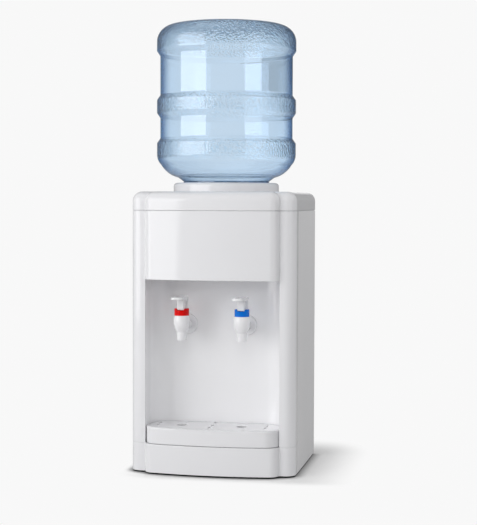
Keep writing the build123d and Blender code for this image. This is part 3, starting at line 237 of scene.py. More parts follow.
# Node helpers
def place(tree, kind, inputs=None, **options):
    """Put a node in a tree, set its options, and set or link its inputs."""
    made = tree.nodes.new(kind)
    for key, value in options.items():
        setattr(made, key, value)
    for key, value in (inputs or {}).items():
        if isinstance(value, bpy.types.NodeSocket):
            tree.links.new(value, made.inputs[key])
        else:
            made.inputs[key].default_value = value
    return made


def spot(tree):
    """Place on the piece in its own coordinates; gives its result."""
    return place(tree, "ShaderNodeTexCoord").outputs["Object"]


def parts_of(tree, vector):
    """The three parts of a vector; gives them by the axes' names."""
    return place(tree, "ShaderNodeSeparateXYZ", {0: vector}).outputs


def reckon(tree, operation, *values):
    """A maths node with its values set or linked; gives its result."""
    return place(tree, "ShaderNodeMath", dict(enumerate(values)), operation=operation).outputs[0]


def reckon_vector(tree, operation, first, second):
    """A vector maths node with its vectors set or linked; gives its Vector and its Value."""
    return place(tree, "ShaderNodeVectorMath", {0: first, 1: second}, operation=operation).outputs


def stretch(tree, value, low, high, to_low=0.0, to_high=1.0, soft=True):
    """Map a value from one range to another; gives its result."""
    ranges = {"Value": value, "From Min": low, "From Max": high, "To Min": to_low, "To Max": to_high}
    kind = "SMOOTHSTEP" if soft else "LINEAR"
    return place(tree, "ShaderNodeMapRange", ranges, interpolation_type=kind).outputs["Result"]


def speckle(tree, where, size, detail):
    """Noise with features of a size in metres; gives its value."""
    inputs = {"Vector": where, "Scale": reckon(tree, "DIVIDE", 1.0, size), "Detail": detail}
    return place(tree, "ShaderNodeTexNoise", inputs).outputs["Fac"]


def shaded(tree, colour, level):
    """A colour made darker or lighter by a level; gives its result."""
    return place(tree, "ShaderNodeHueSaturation", {"Value": level, "Color": colour}).outputs["Color"]


def blend(tree, share, first, second, kind="MIX"):
    """Mix two colours, set or linked, by a share; gives its result."""
    made = place(tree, "ShaderNodeMix", {"Factor": share}, data_type="RGBA", blend_type=kind)
    colours = [socket for socket in made.inputs if socket.type == "RGBA"]
    for socket, value in zip(colours, (first, second)):
        if isinstance(value, bpy.types.NodeSocket):
            tree.links.new(value, socket)
        else:
            socket.default_value = value
    return next(socket for socket in made.outputs if socket.type == "RGBA")


def relief(tree, height, depth, under=None):
    """A bump of a depth in metres, laid on another normal if there is one; gives its normal."""
    inputs = {"Height": height, "Distance": depth, "Strength": 1.0}
    if under is not None:
        inputs["Normal"] = under
    return place(tree, "ShaderNodeBump", inputs).outputs["Normal"]


def with_alpha(colour):
    """A colour as four values."""
    return (*colour, OPAQUE)


def new_group(name, inputs, outputs):
    """An empty node group; gives its tree, what it is given and what it gives back."""
    kinds = {"colour": "NodeSocketColor", "value": "NodeSocketFloat", "vector": "NodeSocketVector"}
    tree = bpy.data.node_groups.new(name, "ShaderNodeTree")
    for socket, kind in inputs.items():
        tree.interface.new_socket(name=socket, in_out="INPUT", socket_type=kinds[kind])
    for socket, kind in outputs.items():
        tree.interface.new_socket(name=socket, in_out="OUTPUT", socket_type=kinds[kind])
    return tree, tree.nodes.new("NodeGroupInput").outputs, tree.nodes.new("NodeGroupOutput").inputs


def use_group(tree, name, build, inputs):
    """A node for a group that is built the first time it is asked for; gives the node's outputs."""
    group = bpy.data.node_groups.get(name) or build(name)
    return place(tree, "ShaderNodeGroup", inputs, node_tree=group).outputs


# Shared effects
FINISH = {"Colour": "colour", "Roughness": "value", "Height": "value"}


def build_skin(name):
    """Skin of moulded plastic, paint and rubber: faint mottle, uneven gloss and a fine grain."""
    inputs = {"Colour": "colour", "Roughness": "value"}
    inputs.update({"Grain": "value", "Mottle": "value", "Smudge": "value"})
    tree, given, result = new_group(name, inputs, FINISH)
    where = spot(tree)
    cloud_size, cloud_detail = 0.11, 3.0
    smear_size, smear_detail = 0.028, 5.0
    grain_detail = 2.0
    noise_middle = 0.5
    cloud = reckon(tree, "SUBTRACT", speckle(tree, where, cloud_size, cloud_detail), noise_middle)
    smear = reckon(tree, "SUBTRACT", speckle(tree, where, smear_size, smear_detail), noise_middle)
    level = reckon(tree, "MULTIPLY_ADD", cloud, given["Mottle"], 1.0)
    gloss = reckon(tree, "MULTIPLY_ADD", smear, given["Smudge"], given["Roughness"])
    tree.links.new(shaded(tree, given["Colour"], level), result["Colour"])
    tree.links.new(gloss, result["Roughness"])
    tree.links.new(speckle(tree, where, given["Grain"], grain_detail), result["Height"])
    return tree


def build_brushing(name):
    """Lines of brushed or drawn metal along an axis, with patches of duller metal."""
    inputs = {"Colour": "colour", "Roughness": "value", "Stretch": "vector"}
    tree, given, result = new_group(name, inputs, FINISH)
    where = spot(tree)
    drawn = reckon_vector(tree, "MULTIPLY", where, given["Stretch"])["Vector"]
    line_size, line_detail = 0.0012, 4.0
    line_from, line_to = 0.3, 0.7
    line_dark, line_light = 0.88, 1.06
    patch_size, patch_detail = 0.05, 3.0
    patch_from, patch_to, patch_dull = 0.35, 0.7, 0.12
    line = speckle(tree, drawn, line_size, line_detail)
    patch = speckle(tree, where, patch_size, patch_detail)
    level = stretch(tree, line, line_from, line_to, line_dark, line_light)
    dull = stretch(tree, patch, patch_from, patch_to, 0.0, patch_dull)
    tree.links.new(shaded(tree, given["Colour"], level), result["Colour"])
    tree.links.new(reckon(tree, "ADD", dull, given["Roughness"]), result["Roughness"])
    tree.links.new(line, result["Height"])
    return tree


def build_pebbles(name):
    """Rounded pebbles of a size, as a height and a mask of the furrows between them."""
    tree, given, result = new_group(name, {"Size": "value"}, {"Height": "value", "Furrow": "value"})
    smoothness, stone_edge = 0.6, 0.7
    furrow_from, furrow_to = 0.45, 0.8
    scale = reckon(tree, "DIVIDE", 1.0, given["Size"])
    cell = {"Vector": spot(tree), "Scale": scale, "Smoothness": smoothness}
    stones = place(tree, "ShaderNodeTexVoronoi", cell, feature="SMOOTH_F1").outputs["Distance"]
    tree.links.new(stretch(tree, stones, 0.0, stone_edge, 1.0, 0.0), result["Height"])
    tree.links.new(stretch(tree, stones, furrow_from, furrow_to), result["Furrow"])
    return tree


# Materials
def new_material(name):
    """A material with an empty node tree; gives the material, its tree and its output node."""
    material = bpy.data.materials.new(name)
    material.use_nodes = True
    tree = material.node_tree
    tree.nodes.clear()
    return material, tree, tree.nodes.new("ShaderNodeOutputMaterial")


def surface(tree, output, inputs):
    """Put a shader in a material's tree and join it to the material's output; gives the shader."""
    shader = place(tree, "ShaderNodeBsdfPrincipled", inputs)
    tree.links.new(shader.outputs["BSDF"], output.inputs["Surface"])
    return shader


def skinned(name, colour, roughness, grain, mottle=0.04, smudge=0.1, ripple=0.00002, edge=0.0, **sockets):
    """A moulded, painted or rubber finish with edges rounded for the light; sockets are the shader's own."""
    material, tree, output = new_material(name)
    inputs = {"Colour": with_alpha(colour), "Roughness": roughness}
    inputs.update({"Grain": grain, "Mottle": mottle, "Smudge": smudge})
    skin = use_group(tree, "dispenser_skin", build_skin, inputs)
    edge_samples = 4
    rounding = place(tree, "ShaderNodeBevel", {"Radius": edge}, samples=edge_samples).outputs["Normal"]
    finish = {
        "Base Color": skin["Colour"],
        "Roughness": skin["Roughness"],
        "Normal": relief(tree, skin["Height"], ripple, rounding),
    }
    surface(tree, output, {**finish, **sockets})
    return material


def bare_metal(name, colour, roughness, lines, ripple=0.00003):
    """A brushed, drawn or plated metal with its lines along the axis that lines stretches."""
    material, tree, output = new_material(name)
    inputs = {"Colour": with_alpha(colour), "Roughness": roughness, "Stretch": lines}
    brushing = use_group(tree, "dispenser_brushing", build_brushing, inputs)
    finish = {
        "Base Color": brushing["Colour"],
        "Roughness": brushing["Roughness"],
        "Metallic": 1.0,
        "Normal": relief(tree, brushing["Height"], ripple),
    }
    surface(tree, output, finish)
    return material


def fluted_plastic(name, colour, roughness, grain, flutes, axis):
    """A moulded plastic with grip flutes round an upright axis."""
    dull_gloss, flute_depth = 0.15, 0.0001
    material = skinned(name, colour, roughness, grain, **{"Specular IOR Level": dull_gloss})
    tree = material.node_tree
    shader = next(node for node in tree.nodes if node.bl_idname == "ShaderNodeBsdfPrincipled")
    skin_normal = shader.inputs["Normal"].links[0].from_socket
    parts = parts_of(tree, reckon_vector(tree, "SUBTRACT", spot(tree), axis)["Vector"])
    angle = reckon(tree, "ARCTAN2", parts["Y"], parts["X"])
    wave = reckon(tree, "SINE", reckon(tree, "MULTIPLY", angle, float(flutes)))
    tree.links.new(relief(tree, wave, flute_depth, skin_normal), shader.inputs["Normal"])
    return material


def foam(name, colour, bead):
    """Expanded foam: small beads with painted shade in the furrows between them."""
    material, tree, output = new_material(name)
    beads = use_group(tree, "dispenser_pebbles", build_pebbles, {"Size": bead})
    furrow_shade, bead_depth, roughness = 0.82, 0.0006, 0.9
    # Painted shade: the furrows between the beads are darkened.
    level = stretch(tree, beads["Furrow"], 0.0, 1.0, 1.0, furrow_shade)
    finish = {
        "Base Color": shaded(tree, with_alpha(colour), level),
        "Roughness": roughness,
        "Normal": relief(tree, beads["Height"], bead_depth),
    }
    surface(tree, output, finish)
    return material


def circuit(name, colour):
    """A printed board: lighter copper runs under a green mask."""
    material, tree, output = new_material(name)
    where = spot(tree)
    run_pitch, run_width = 0.006, 0.08
    dark_field, light_run = 0.8, 1.9
    smear_size, smear_detail = 0.004, 2.0
    smear_from, smear_to = 0.3, 0.7
    glossy, dull = 0.25, 0.45
    bricks = {
        "Vector": where,
        "Scale": 1.0 / run_pitch,
        "Mortar Size": run_width,
        "Color1": with_alpha(colour),
        "Color2": with_alpha(dark_field * value for value in colour),
        "Mortar": with_alpha(light_run * value for value in colour),
    }
    smear = speckle(tree, where, smear_size, smear_detail)
    finish = {
        "Base Color": place(tree, "ShaderNodeTexBrick", bricks).outputs["Color"],
        "Roughness": stretch(tree, smear, smear_from, smear_to, glossy, dull),
    }
    surface(tree, output, finish)
    return material


def band_mask(tree, height, bands, fade):
    """Mask that is 1 within any of the bands, given as heights from and to; gives its value."""
    mask = 0.0
    for low, high in bands:
        rise = stretch(tree, height, low, low + fade)
        fall = stretch(tree, height, high - fade, high, 1.0, 0.0)
        mask = reckon(tree, "MAXIMUM", mask, reckon(tree, "MULTIPLY", rise, fall))
    return mask


def painted_edge_share(tree, height, looks, foot):
    """Share of the painted edge shade: on the upright wall seen along it, and at the bottle's foot."""
    even, rim_from, rim_to = 0.5, 0.45, 0.85
    lean_from, lean_to, lean_share = 0.5, 0.95, 0.3
    grazing = place(tree, "ShaderNodeLayerWeight", {"Blend": even}).outputs["Facing"]
    normal = place(tree, "ShaderNodeNewGeometry").outputs["Normal"]
    lean = reckon(tree, "ABSOLUTE", parts_of(tree, normal)["Z"])
    upright = stretch(tree, lean, lean_from, lean_to, 1.0, lean_share)
    grazing_painted_shade = reckon(tree, "MULTIPLY", stretch(tree, grazing, rim_from, rim_to), upright)
    foot_painted_shade = stretch(tree, height, foot, foot + looks.foot_line, looks.foot_shade, 0.0)
    return reckon(tree, "MAXIMUM", grazing_painted_shade, foot_painted_shade)


def bottle_plastic(name, looks, bands, foot):
    """Clear tinted plastic with smooth windows and pebbled bands; painted shade darkens its edges, its foot
    and the furrows between the pebbles.
    """
    material, tree, output = new_material(name)
    height = parts_of(tree, spot(tree))["Z"]
    mask = band_mask(tree, height, bands, looks.band_edge)
    pebbles = use_group(tree, "dispenser_pebbles", build_pebbles, {"Size": looks.pebble})
    stones = reckon(tree, "MULTIPLY", pebbles["Height"], mask)
    # Painted shade in the furrows between the pebbles of the bands.
    painted_furrow_shade = reckon(tree, "MULTIPLY", pebbles["Furrow"], mask)
    # Painted shade: the wall takes the edge tint where it is seen edge-on and at the foot.
    wall = blend(tree, painted_edge_share(tree, height, looks, foot), WHITE, with_alpha(looks.painted_edge_shade))
    finish = {
        "Base Color": blend(tree, painted_furrow_shade, wall, with_alpha(looks.painted_furrow_shade), "MULTIPLY"),
        "Roughness": stretch(tree, mask, 0.0, 1.0, looks.gloss, looks.frost, soft=False),
        "IOR": looks.index,
        "Transmission Weight": 1.0,
        "Normal": relief(tree, stones, looks.pebble_depth),
    }
    surface(tree, output, finish)
    tinted = {"Color": with_alpha(looks.tint), "Density": looks.density}
    volume = place(tree, "ShaderNodeVolumeAbsorption", tinted)
    tree.links.new(volume.outputs["Volume"], output.inputs["Volume"])
    return material


def dress(material, *nodes):
    """Give CAD nodes a material."""
    for node in nodes:
        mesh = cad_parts[node].data
        mesh.materials.clear()
        mesh.materials.append(material)


# Objects and meshes made here
def add_object(name, data):
    """Put a mesh, a lamp or a camera in the scene."""
    added = bpy.data.objects.new(name, data)
    bpy.context.scene.collection.objects.link(added)
    return added


def finished_mesh(name, form, material):
    """Turn a finished bmesh into a mesh with a material."""
    mesh = bpy.data.meshes.new(name)
    form.to_mesh(mesh)
    form.free()
    mesh.materials.append(material)
    return mesh


def mesh_piece(name, form, body, material, smooth=False):
    """Turn a finished bmesh into a piece that rides on a body."""
    bmesh.ops.recalc_face_normals(form, faces=form.faces)
    for face in form.faces:
        face.smooth = smooth
    piece = add_object(name, finished_mesh(name, form, material))
    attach(piece, body)
    return piece


def join_rows(form, rows, hollow):
    """Join rows of points by faces; then join the last row to the first if hollow, or else cap both ends."""
    pairs = list(zip(rows, rows[1:]))
    if hollow:
        pairs.append((rows[-1], rows[0]))
    else:
        form.faces.new(rows[0])
        form.faces.new(rows[-1])
    for lower, upper in pairs:
        for step in range(len(lower)):
            form.faces.new((lower[step - 1], lower[step], upper[step], upper[step - 1]))


def middle_of(node):
    """Middle of a CAD node's box."""
    low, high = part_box(node)
    return (low + high) / 2


def coil(foot, coil_r, wire_r, rise, turns):
    """A coil of round wire that stands on a foot at its axis, and whose middle line climbs by a rise."""
    steps_round, steps_wire = 32, 12
    steps = turns * steps_round
    angles = [FULL_TURN * part / steps_wire for part in range(steps_wire)]
    form = bmesh.new()
    rows = []
    for step in range(steps + 1):
        turn = FULL_TURN * step / steps_round
        out = Vector((math.cos(turn), math.sin(turn), 0.0))
        centre = foot + out * coil_r + UP * (wire_r + rise * step / steps)
        section = [out * math.cos(angle) + UP * math.sin(angle) for angle in angles]
        rows.append([form.verts.new(centre + point * wire_r) for point in section])
    join_rows(form, rows, hollow=False)
    return form


def return_spring(node, looks, material):
    """A coil spring in place of a CAD node."""
    low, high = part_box(node)
    middle = (low + high) / 2
    wire_r = looks.spring_wire / 2
    coil_r = (high.x - low.x) / 2 - wire_r
    length = high.z - low.z
    foot = Vector((middle.x, middle.y, low.z))
    form = coil(foot, coil_r, wire_r, length - looks.spring_wire, looks.spring_turns)
    spring = mesh_piece(f"{node}_coil", form, "cabinet", material, smooth=True)
    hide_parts(node)
    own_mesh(spring)


def rocker_facets(node):
    """The two outer facets of a rocker as middle and outward way, the upper one first."""
    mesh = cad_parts[node].data
    halfway = middle_of(node).z
    out_enough, same_way = 0.9, 0.999
    facets = []
    for upper in (True, False):
        faces = [f for f in mesh.polygons if f.normal.y > out_enough and (f.center.z > halfway) == upper]
        out = max(faces, key=lambda face: face.area).normal.copy()
        flat = [face for face in faces if face.normal.dot(out) > same_way]
        whole = sum(face.area for face in flat)
        middle = sum((face.center * face.area for face in flat), Vector()) / whole
        facets.append((middle, out))
    return facets


def round_bar(radius, straight):
    """Points round an upright bar with round ends; with no straight length it is a circle."""
    steps = 48
    points = []
    for step in range(steps):
        turn = FULL_TURN * step / steps
        lift = math.copysign(straight / 2, math.sin(turn))
        points.append((radius * math.cos(turn), radius * math.sin(turn) + lift))
    return points


def raised_mark(levels, straight, facet, hollow):
    """A form on a facet through outlines of the given radii and heights, hollow as a ring or closed."""
    middle, out = facet
    facet_up = RIGHT.cross(out)
    form = bmesh.new()
    rows = []
    for radius, height in levels:
        outline = round_bar(radius, straight)
        rows.append([form.verts.new(middle + RIGHT * x + facet_up * y + out * height) for x, y in outline])
    join_rows(form, rows, hollow)
    return form


def on_mark(looks, facet):
    """The upright bar that marks on."""
    radius, proud = looks.mark_stroke / 2, looks.mark_proud
    chamfer = proud / 3
    levels = [(radius, -proud), (radius, proud - chamfer), (radius - chamfer, proud)]
    return raised_mark(levels, looks.mark_height - looks.mark_stroke, facet, hollow=False)


def off_mark(looks, facet):
    """The ring that marks off."""
    outer, proud = looks.mark_height / 2, looks.mark_proud
    inner = outer - looks.mark_stroke
    chamfer = proud / 3
    levels = [
        (inner, -proud),
        (inner, proud - chamfer),
        (inner + chamfer, proud),
        (outer - chamfer, proud),
        (outer, proud - chamfer),
        (outer, -proud),
    ]
    return raised_mark(levels, 0.0, facet, hollow=True)


# Operators for the pieces
class DISPENSER_OT_casing(bpy.types.Operator):
    """Finish the casing, its panels, its feet and its screws"""

    bl_idname = "dispenser.casing"
    bl_label = "Casing"

    def execute(self, context):
        looks = context.scene.dispenser_casing
        mould = dict(roughness=looks.plastic_roughness, grain=looks.skin, smudge=0.03, edge=looks.edge)
        paint = dict(roughness=looks.paint_roughness, grain=looks.peel, smudge=0.12, ripple=0.00004)
        rubber = dict(roughness=0.8, grain=looks.skin, mottle=0.3, ripple=0.0001)
        casing = skinned("casing_plastic", looks.plastic, **mould)
        dress(casing, "base_pan", "front_panel", "top_cover", "collar")
        # The niche liner takes a paler white than the casing, partly as painted light.
        dress(skinned("niche_plastic_painted_light", looks.niche, **mould), "niche_liner")
        panels = skinned("panel_paint", looks.paint, **paint)
        dress(panels, "left_side_panel", "right_side_panel", "back_panel")
        dress(skinned("foot_rubber", looks.rubber, **rubber), "rubber_feet")
        dress(bare_metal("screw_zinc", looks.zinc, roughness=0.32, lines=LINES_UP), "casing_screws")
        return {"FINISHED"}


class DISPENSER_OT_drip_set(bpy.types.Operator):
    """Finish the drip tray and its grille"""

    bl_idname = "dispenser.drip_set"
    bl_label = "Drip tray"

    def execute(self, context):
        looks = context.scene.dispenser_casing
        mould = dict(roughness=looks.plastic_roughness, grain=looks.skin, smudge=0.05, edge=looks.edge)
        dress(skinned("drip_plastic", looks.plastic, **mould), "drip_tray", "drip_grille")
        return {"FINISHED"}


class DISPENSER_OT_taps(bpy.types.Operator):
    """Finish the hot and the cold tap"""

    bl_idname = "dispenser.taps"
    bl_label = "Taps"

    def execute(self, context):
        looks = context.scene.dispenser_taps
        grain = context.scene.dispenser_casing.skin
        metal = context.scene.dispenser_inside.steel
        white = skinned("tap_white", looks.white, looks.roughness, grain, smudge=0.08, **MOULD_COAT)
        nylon = skinned("stem_white", looks.white, roughness=0.45, grain=grain)
        seal = skinned("valve_seal", looks.seal, roughness=0.6, grain=grain, mottle=0.1, ripple=0.00005)
        steel = bare_metal("tap_steel", metal, roughness=0.25, lines=LINES_ACROSS)
        for side, colour in (("hot", looks.hot), ("cold", looks.cold)):
            axis = middle_of(f"{side}_tap_ring")
            ring = fluted_plastic(f"{side}_ring", colour, looks.roughness, grain, looks.flutes, axis)
            dress(ring, f"{side}_tap_ring")
            dress(white, f"{side}_tap_flange", f"{side}_tap_body", f"{side}_tap_lever")
            dress(nylon, f"{side}_tap_stem", f"{side}_tap_nut")
            dress(seal, f"{side}_tap_seal")
            dress(steel, f"{side}_tap_pin")
            return_spring(f"{side}_tap_spring", looks, steel)
        return {"FINISHED"}


class DISPENSER_OT_bottle(bpy.types.Operator):
    """Finish the bottle, its cap and the feed probe"""

    bl_idname = "dispenser.bottle"
    bl_label = "Bottle"

    def execute(self, context):
        looks = context.scene.dispenser_bottle
        grain = context.scene.dispenser_casing.skin
        low_band, middle_band = (0.594, 0.630), (0.680, 0.716)
        top_band_from = 0.803
        top_band = (top_band_from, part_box("bottle")[1].z + looks.band_edge)
        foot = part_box("collar")[1].z
        plastic = bottle_plastic("bottle_plastic", looks, (low_band, middle_band, top_band), foot)
        dress(plastic, "bottle")
        dress(skinned("cap_plastic", looks.cap, roughness=0.4, grain=grain), "bottle_cap")
        dress(skinned("probe_plastic", looks.probe, roughness=0.35, grain=grain), "feed_probe")
        return {"FINISHED"}


class DISPENSER_OT_cooler(bpy.types.Operator):
    """Finish the cold tank, its cooler and its fan"""

    bl_idname = "dispenser.cooler"
    bl_label = "Cold side"

    def execute(self, context):
        looks = context.scene.dispenser_inside
        grain = context.scene.dispenser_casing.skin
        steel = bare_metal("tank_steel", looks.steel, roughness=0.28, lines=LINES_UP)
        aluminium = bare_metal("sink_aluminium", looks.aluminium, roughness=0.35, lines=LINES_UP)
        black = skinned("fan_plastic", looks.black, roughness=0.42, grain=grain, mottle=0.25)
        dress(steel, "cold_tank", "tank_shelf")
        dress(skinned("tank_lid", looks.hose, roughness=0.4, grain=grain), "cold_tank_lid")
        dress(foam("jacket_foam", looks.foam, looks.bead), "foam_jacket")
        dress(aluminium, "cold_block", "heat_sink")
        dress(skinned("module_ceramic", looks.ceramic, roughness=0.55, grain=grain), "peltier_module")
        dress(black, "fan_frame", "fan_rotor")
        return {"FINISHED"}


class DISPENSER_OT_heater(bpy.types.Operator):
    """Finish the hot tank, its heater, its stand, the hoses and the drain"""

    bl_idname = "dispenser.heater"
    bl_label = "Hot side"

    def execute(self, context):
        looks = context.scene.dispenser_inside
        grain = context.scene.dispenser_casing.skin
        steel = bare_metal("hot_tank_steel", looks.steel, roughness=0.3, lines=LINES_ACROSS)
        zinc = bare_metal("stand_zinc", looks.aluminium, roughness=0.42, lines=LINES_ACROSS)
        black = skinned("thermostat_plastic", looks.black, roughness=0.5, grain=grain, mottle=0.2)
        silicone = skinned("hose_silicone", looks.hose, roughness=0.45, grain=grain, mottle=0.06)
        dress(steel, "hot_tank")
        dress(zinc, "heater_band", "hot_tank_stand")
        dress(black, "thermostats", "drain_cap")
        dress(silicone, "cold_hose", "hot_hose", "feed_hose", "drain_pipe")
        return {"FINISHED"}


class DISPENSER_OT_electrics(bpy.types.Operator):
    """Finish the power board, the switches and the cord gland"""

    bl_idname = "dispenser.electrics"
    bl_label = "Electrics"

    def execute(self, context):
        looks = context.scene.dispenser_inside
        grain = context.scene.dispenser_casing.skin
        rocker = dict(roughness=0.22, grain=grain, **MOULD_COAT)
        black = skinned("switch_plastic", looks.black, roughness=0.38, grain=grain, mottle=0.25)
        brass = bare_metal("standoff_brass", looks.brass, roughness=0.25, lines=LINES_UP)
        dress(black, "switch_housing", "cord_gland")
        dress(skinned("heat_rocker", looks.heat_rocker, **rocker), "heat_switch")
        dress(skinned("cool_rocker", looks.cool_rocker, **rocker), "cool_switch")
        dress(circuit("board_mask", looks.board), "power_board")
        dress(brass, "board_standoffs")
        return {"FINISHED"}


class DISPENSER_OT_switch_marks(bpy.types.Operator):
    """Put the on and off marks on the two rockers"""

    bl_idname = "dispenser.switch_marks"
    bl_label = "Switch marks"

    def execute(self, context):
        looks = context.scene.dispenser_inside
        grain = context.scene.dispenser_casing.skin
        print_white = skinned("switch_mark", looks.mark, roughness=0.4, grain=grain)
        for switch, body in (("heat_switch", "heat_rocker"), ("cool_switch", "cool_rocker")):
            upper, lower = rocker_facets(switch)
            mesh_piece(f"{switch}_on_mark", on_mark(looks, upper), body, print_white)
            mesh_piece(f"{switch}_off_mark", off_mark(looks, lower), body, print_white)
        return {"FINISHED"}


# Studio
def view_way(looks):
    """The way that the camera looks."""
    level = math.cos(looks.pitch)
    return Vector((-math.sin(looks.yaw) * level, math.cos(looks.yaw) * level, -math.sin(looks.pitch)))


def flag_shade(tree, way, looks):
    """Share of light that the flag behind the bottle's upper right leaves; gives its result."""
    ahead = view_way(looks)
    right = ahead.cross(UP).normalized()
    right_of, above, blur = 0.0236, 0.1225, 0.0012
    shares = []
    for axis, edge in ((right, right_of), (right.cross(ahead), above)):
        along = reckon_vector(tree, "DOT_PRODUCT", way, axis)["Value"]
        shares.append(stretch(tree, along, edge - blur, edge + blur))
    return stretch(tree, reckon(tree, "MULTIPLY", *shares), 0.0, 1.0, 1.0, looks.flag, soft=False)


def studio_world(looks):
    """A white backdrop to the camera; gloss and glass see a white card behind and a dim room beside it."""
    world = bpy.data.worlds.new("studio")
    bpy.context.scene.world = world
    world.use_nodes = True
    tree = world.node_tree
    tree.nodes.clear()
    way = place(tree, "ShaderNodeTexCoord").outputs["Generated"]
    side = parts_of(tree, way)["X"]
    fill = stretch(tree, side, -1.0, 1.0, looks.fill_left, looks.fill_right, soft=False)
    facing = reckon_vector(tree, "DOT_PRODUCT", way, view_way(looks))["Value"]
    inner = math.cos(looks.backdrop_half)
    outer = math.cos(looks.backdrop_half + looks.backdrop_fade)
    dim = stretch(tree, side, -1.0, 1.0, looks.dim_left, looks.dim_right, soft=False)
    gloss = stretch(tree, facing, outer, inner, dim, looks.backdrop)
    open_way = stretch(tree, facing, outer, inner, looks.clear, looks.backdrop)
    bent = reckon(tree, "MULTIPLY", open_way, flag_shade(tree, way, looks))
    seen_by = {"Is Glossy Ray": gloss, "Is Transmission Ray": bent, "Is Camera Ray": looks.backdrop}
    path = place(tree, "ShaderNodeLightPath").outputs
    level = fill
    for kind, seen in seen_by.items():
        choice = {"Factor": path[kind], "A": level, "B": seen}
        level = place(tree, "ShaderNodeMix", choice).outputs["Result"]
    light = place(tree, "ShaderNodeBackground", {"Color": WHITE, "Strength": level})
    place(tree, "ShaderNodeOutputWorld", {"Surface": light.outputs["Background"]})


def outside(tree, value, half, low_scale, high_scale):
    """Distance of a value beyond a half size, scaled below and above it; gives its result."""
    opposite = reckon(tree, "MULTIPLY", value, -1.0)
    above = reckon(tree, "MAXIMUM", reckon(tree, "SUBTRACT", value, half), 0.0)
    under = reckon(tree, "MAXIMUM", reckon(tree, "SUBTRACT", opposite, half), 0.0)
    return reckon(tree, "MULTIPLY_ADD", under, low_scale, reckon(tree, "MULTIPLY", above, high_scale))


def shadow_share(tree, where, looks):
    """How much of the floor's own shading shows: all of it at the dispenser, none far off."""
    low, high = cad_box
    lit_left, front_fade, back_fade = 0.09, 2.6, 0.7
    middle = Vector(((low.x + lit_left + high.x) / 2, (low.y + high.y) / 2, 0.0))
    half_width = (high.x - low.x - lit_left) / 2
    half_depth = (high.y - low.y) / 2
    parts = parts_of(tree, reckon_vector(tree, "SUBTRACT", where, middle)["Vector"])
    across = outside(tree, parts["X"], half_width, 1.0, 1.0)
    along = outside(tree, parts["Y"], half_depth, front_fade, back_fade)
    squares = reckon(tree, "MULTIPLY_ADD", across, across, reckon(tree, "MULTIPLY", along, along))
    return stretch(tree, reckon(tree, "SQRT", squares), 0.0, looks.shadow_reach, 1.0, 0.0)


def floor_finish(looks):
    """A pale floor that takes the dispenser's shadow nearby, with a painted contact shadow close to it, and
    fades into the backdrop.
    """
    material, tree, output = new_material("studio_floor")
    where = spot(tree)
    contact_samples, contact_depth, contact_full = 16, 1.2, 0.7
    grain_size, grain_detail, grain_dark, grain_light = 0.02, 2.0, 0.995, 1.005
    # Painted contact shadow: the floor's colour darkens where ambient occlusion finds the dispenser close
    # by.
    reach = {"Distance": looks.contact_reach}
    openness = place(tree, "ShaderNodeAmbientOcclusion", reach, samples=contact_samples).outputs["AO"]
    contact = reckon(tree, "POWER", openness, contact_depth)
    close = stretch(tree, openness, contact_full, 1.0, 1.0, 0.0)
    near = reckon(tree, "MAXIMUM", shadow_share(tree, where, looks), close)
    noise = speckle(tree, where, grain_size, grain_detail)
    grain = stretch(tree, noise, 0.0, 1.0, grain_dark, grain_light, soft=False)
    white, grey = with_alpha((looks.floor_white,) * 3), with_alpha((looks.floor,) * 3)
    pale = shaded(tree, white, reckon(tree, "MULTIPLY", grain, contact))
    paper = place(tree, "ShaderNodeBsdfDiffuse", {"Color": pale}).outputs["BSDF"]
    blank = place(tree, "ShaderNodeEmission", {"Strength": looks.backdrop}).outputs["Emission"]
    shown = place(tree, "ShaderNodeMixShader", {0: near, 1: blank, 2: paper}).outputs["Shader"]
    dull = place(tree, "ShaderNodeBsdfDiffuse", {"Color": grey}).outputs["BSDF"]
    path = place(tree, "ShaderNodeLightPath").outputs
    seen = reckon(tree, "MAXIMUM", path["Is Camera Ray"], path["Is Transmission Ray"])
    mixed = place(tree, "ShaderNodeMixShader", {0: seen, 1: dull, 2: shown}).outputs["Shader"]
    tree.links.new(mixed, output.inputs["Surface"])
    return material


def studio_floor(looks):
    """The floor of the studio."""
    form = bmesh.new()
    bmesh.ops.create_grid(form, x_segments=1, y_segments=1, size=looks.floor_size / 2)
    floor = add_object("floor", finished_mesh("floor", form, floor_finish(looks)))


def soft_lamp(name, target, bearing, distance, rise, width, height, power):
    """A softbox at a bearing from the front, turned to a target."""
    lamp = bpy.data.lights.new(name, "AREA")
    lamp.shape = "RECTANGLE"
    lamp.size = width
    lamp.size_y = height
    lamp.energy = power
    holder = add_object(name, lamp)
    turn = math.radians(bearing)
    holder.location = (distance * math.sin(turn), -distance * math.cos(turn), rise)
    holder.rotation_euler = (target - holder.location).to_track_quat("-Z", "Y").to_euler()
    holder.visible_camera = False
    return holder


def studio_lamps(looks):
    """Three softboxes and two fill lights that gloss and glass don't see."""
    target = Vector((0.0, 0.0, (cad_box[0].z + cad_box[1].z) / 2))
    softboxes = {
        "key_softbox": dict(
            bearing=-47.5, distance=2.5, rise=0.9, width=2.3, height=1.7, power=looks.key
        ),
        "side_softbox": dict(
            bearing=57.5, distance=2.2, rise=0.9, width=1.25, height=1.7, power=looks.side
        ),
        "top_softbox": dict(
            bearing=-60.0, distance=0.35, rise=2.6, width=1.5, height=1.5, power=looks.top
        ),
    }
    fills = {
        "front_fill": dict(
            bearing=3.0, distance=3.0, rise=1.9, width=2.0, height=2.0, power=looks.front
        ),
        "side_fill": dict(
            bearing=113.0, distance=1.3, rise=1.2, width=0.5, height=0.5, power=looks.side_fill
        ),
    }
    for name, lamp in softboxes.items():
        soft_lamp(name, target, **lamp)
    for name, lamp in fills.items():
        holder = soft_lamp(name, target, **lamp)
        holder.visible_glossy = False
        holder.visible_transmission = False


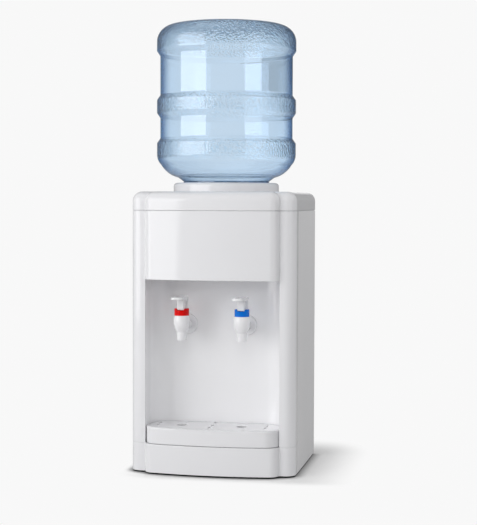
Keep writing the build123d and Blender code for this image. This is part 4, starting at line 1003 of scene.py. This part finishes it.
def studio_camera(looks):
    """The camera that takes the main picture."""
    lens = bpy.data.cameras.new("camera")
    lens.lens = looks.lens
    camera = add_object("camera", lens)
    camera.location = looks.camera
    aim = view_way(looks).to_track_quat("-Z", "Y")
    camera.rotation_euler = (aim @ Quaternion(UP, looks.roll)).to_euler()
    bpy.context.scene.camera = camera


class DISPENSER_OT_stage(bpy.types.Operator):
    """Set the floor, the studio light and the camera"""

    bl_idname = "dispenser.stage"
    bl_label = "Stage"

    def execute(self, context):
        looks = context.scene.dispenser_stage
        studio_floor(looks)
        studio_world(looks)
        studio_lamps(looks)
        studio_camera(looks)
        context.scene.view_settings.view_transform = "Standard"
        return {"FINISHED"}


# Panel and registration
class DISPENSER_PT_panel(bpy.types.Panel):
    """The dispenser's pieces and its studio"""

    bl_idname = "DISPENSER_PT_panel"
    bl_label = "Water dispenser"
    bl_space_type = "VIEW_3D"
    bl_region_type = "UI"
    bl_category = "Dispenser"

    def draw(self, context):
        for operator in OPERATORS:
            self.layout.operator(operator.bl_idname)
        for group in SETTINGS:
            looks = getattr(context.scene, group)
            box = self.layout.box()
            for setting in looks.bl_rna.properties:
                if setting.identifier not in ("rna_type", "name"):
                    box.prop(looks, setting.identifier)


OPERATORS = [
    DISPENSER_OT_casing,
    DISPENSER_OT_drip_set,
    DISPENSER_OT_taps,
    DISPENSER_OT_bottle,
    DISPENSER_OT_cooler,
    DISPENSER_OT_heater,
    DISPENSER_OT_electrics,
    DISPENSER_OT_switch_marks,
    DISPENSER_OT_stage,
]
SETTINGS = {
    "dispenser_casing": CasingLooks,
    "dispenser_bottle": BottleLooks,
    "dispenser_taps": TapLooks,
    "dispenser_inside": InsideLooks,
    "dispenser_stage": StageLooks,
}


def register():
    """Register the settings, the operators and the panel."""
    for name, group in SETTINGS.items():
        bpy.utils.register_class(group)
        setattr(bpy.types.Scene, name, bpy.props.PointerProperty(type=group))
    for operator in OPERATORS:
        bpy.utils.register_class(operator)
    bpy.utils.register_class(DISPENSER_PT_panel)


def unregister():
    """Take the settings, the operators and the panel away again."""
    bpy.utils.unregister_class(DISPENSER_PT_panel)
    for operator in reversed(OPERATORS):
        bpy.utils.unregister_class(operator)
    for name, group in SETTINGS.items():
        delattr(bpy.types.Scene, name)
        bpy.utils.unregister_class(group)


def main():
    """Dress the dispenser and set the stage."""
    register()
    bpy.ops.dispenser.casing()
    bpy.ops.dispenser.drip_set()
    bpy.ops.dispenser.taps()
    bpy.ops.dispenser.bottle()
    bpy.ops.dispenser.cooler()
    bpy.ops.dispenser.heater()
    bpy.ops.dispenser.electrics()
    bpy.ops.dispenser.switch_marks()
    bpy.ops.dispenser.stage()


if __name__ == "__main__":
    main()
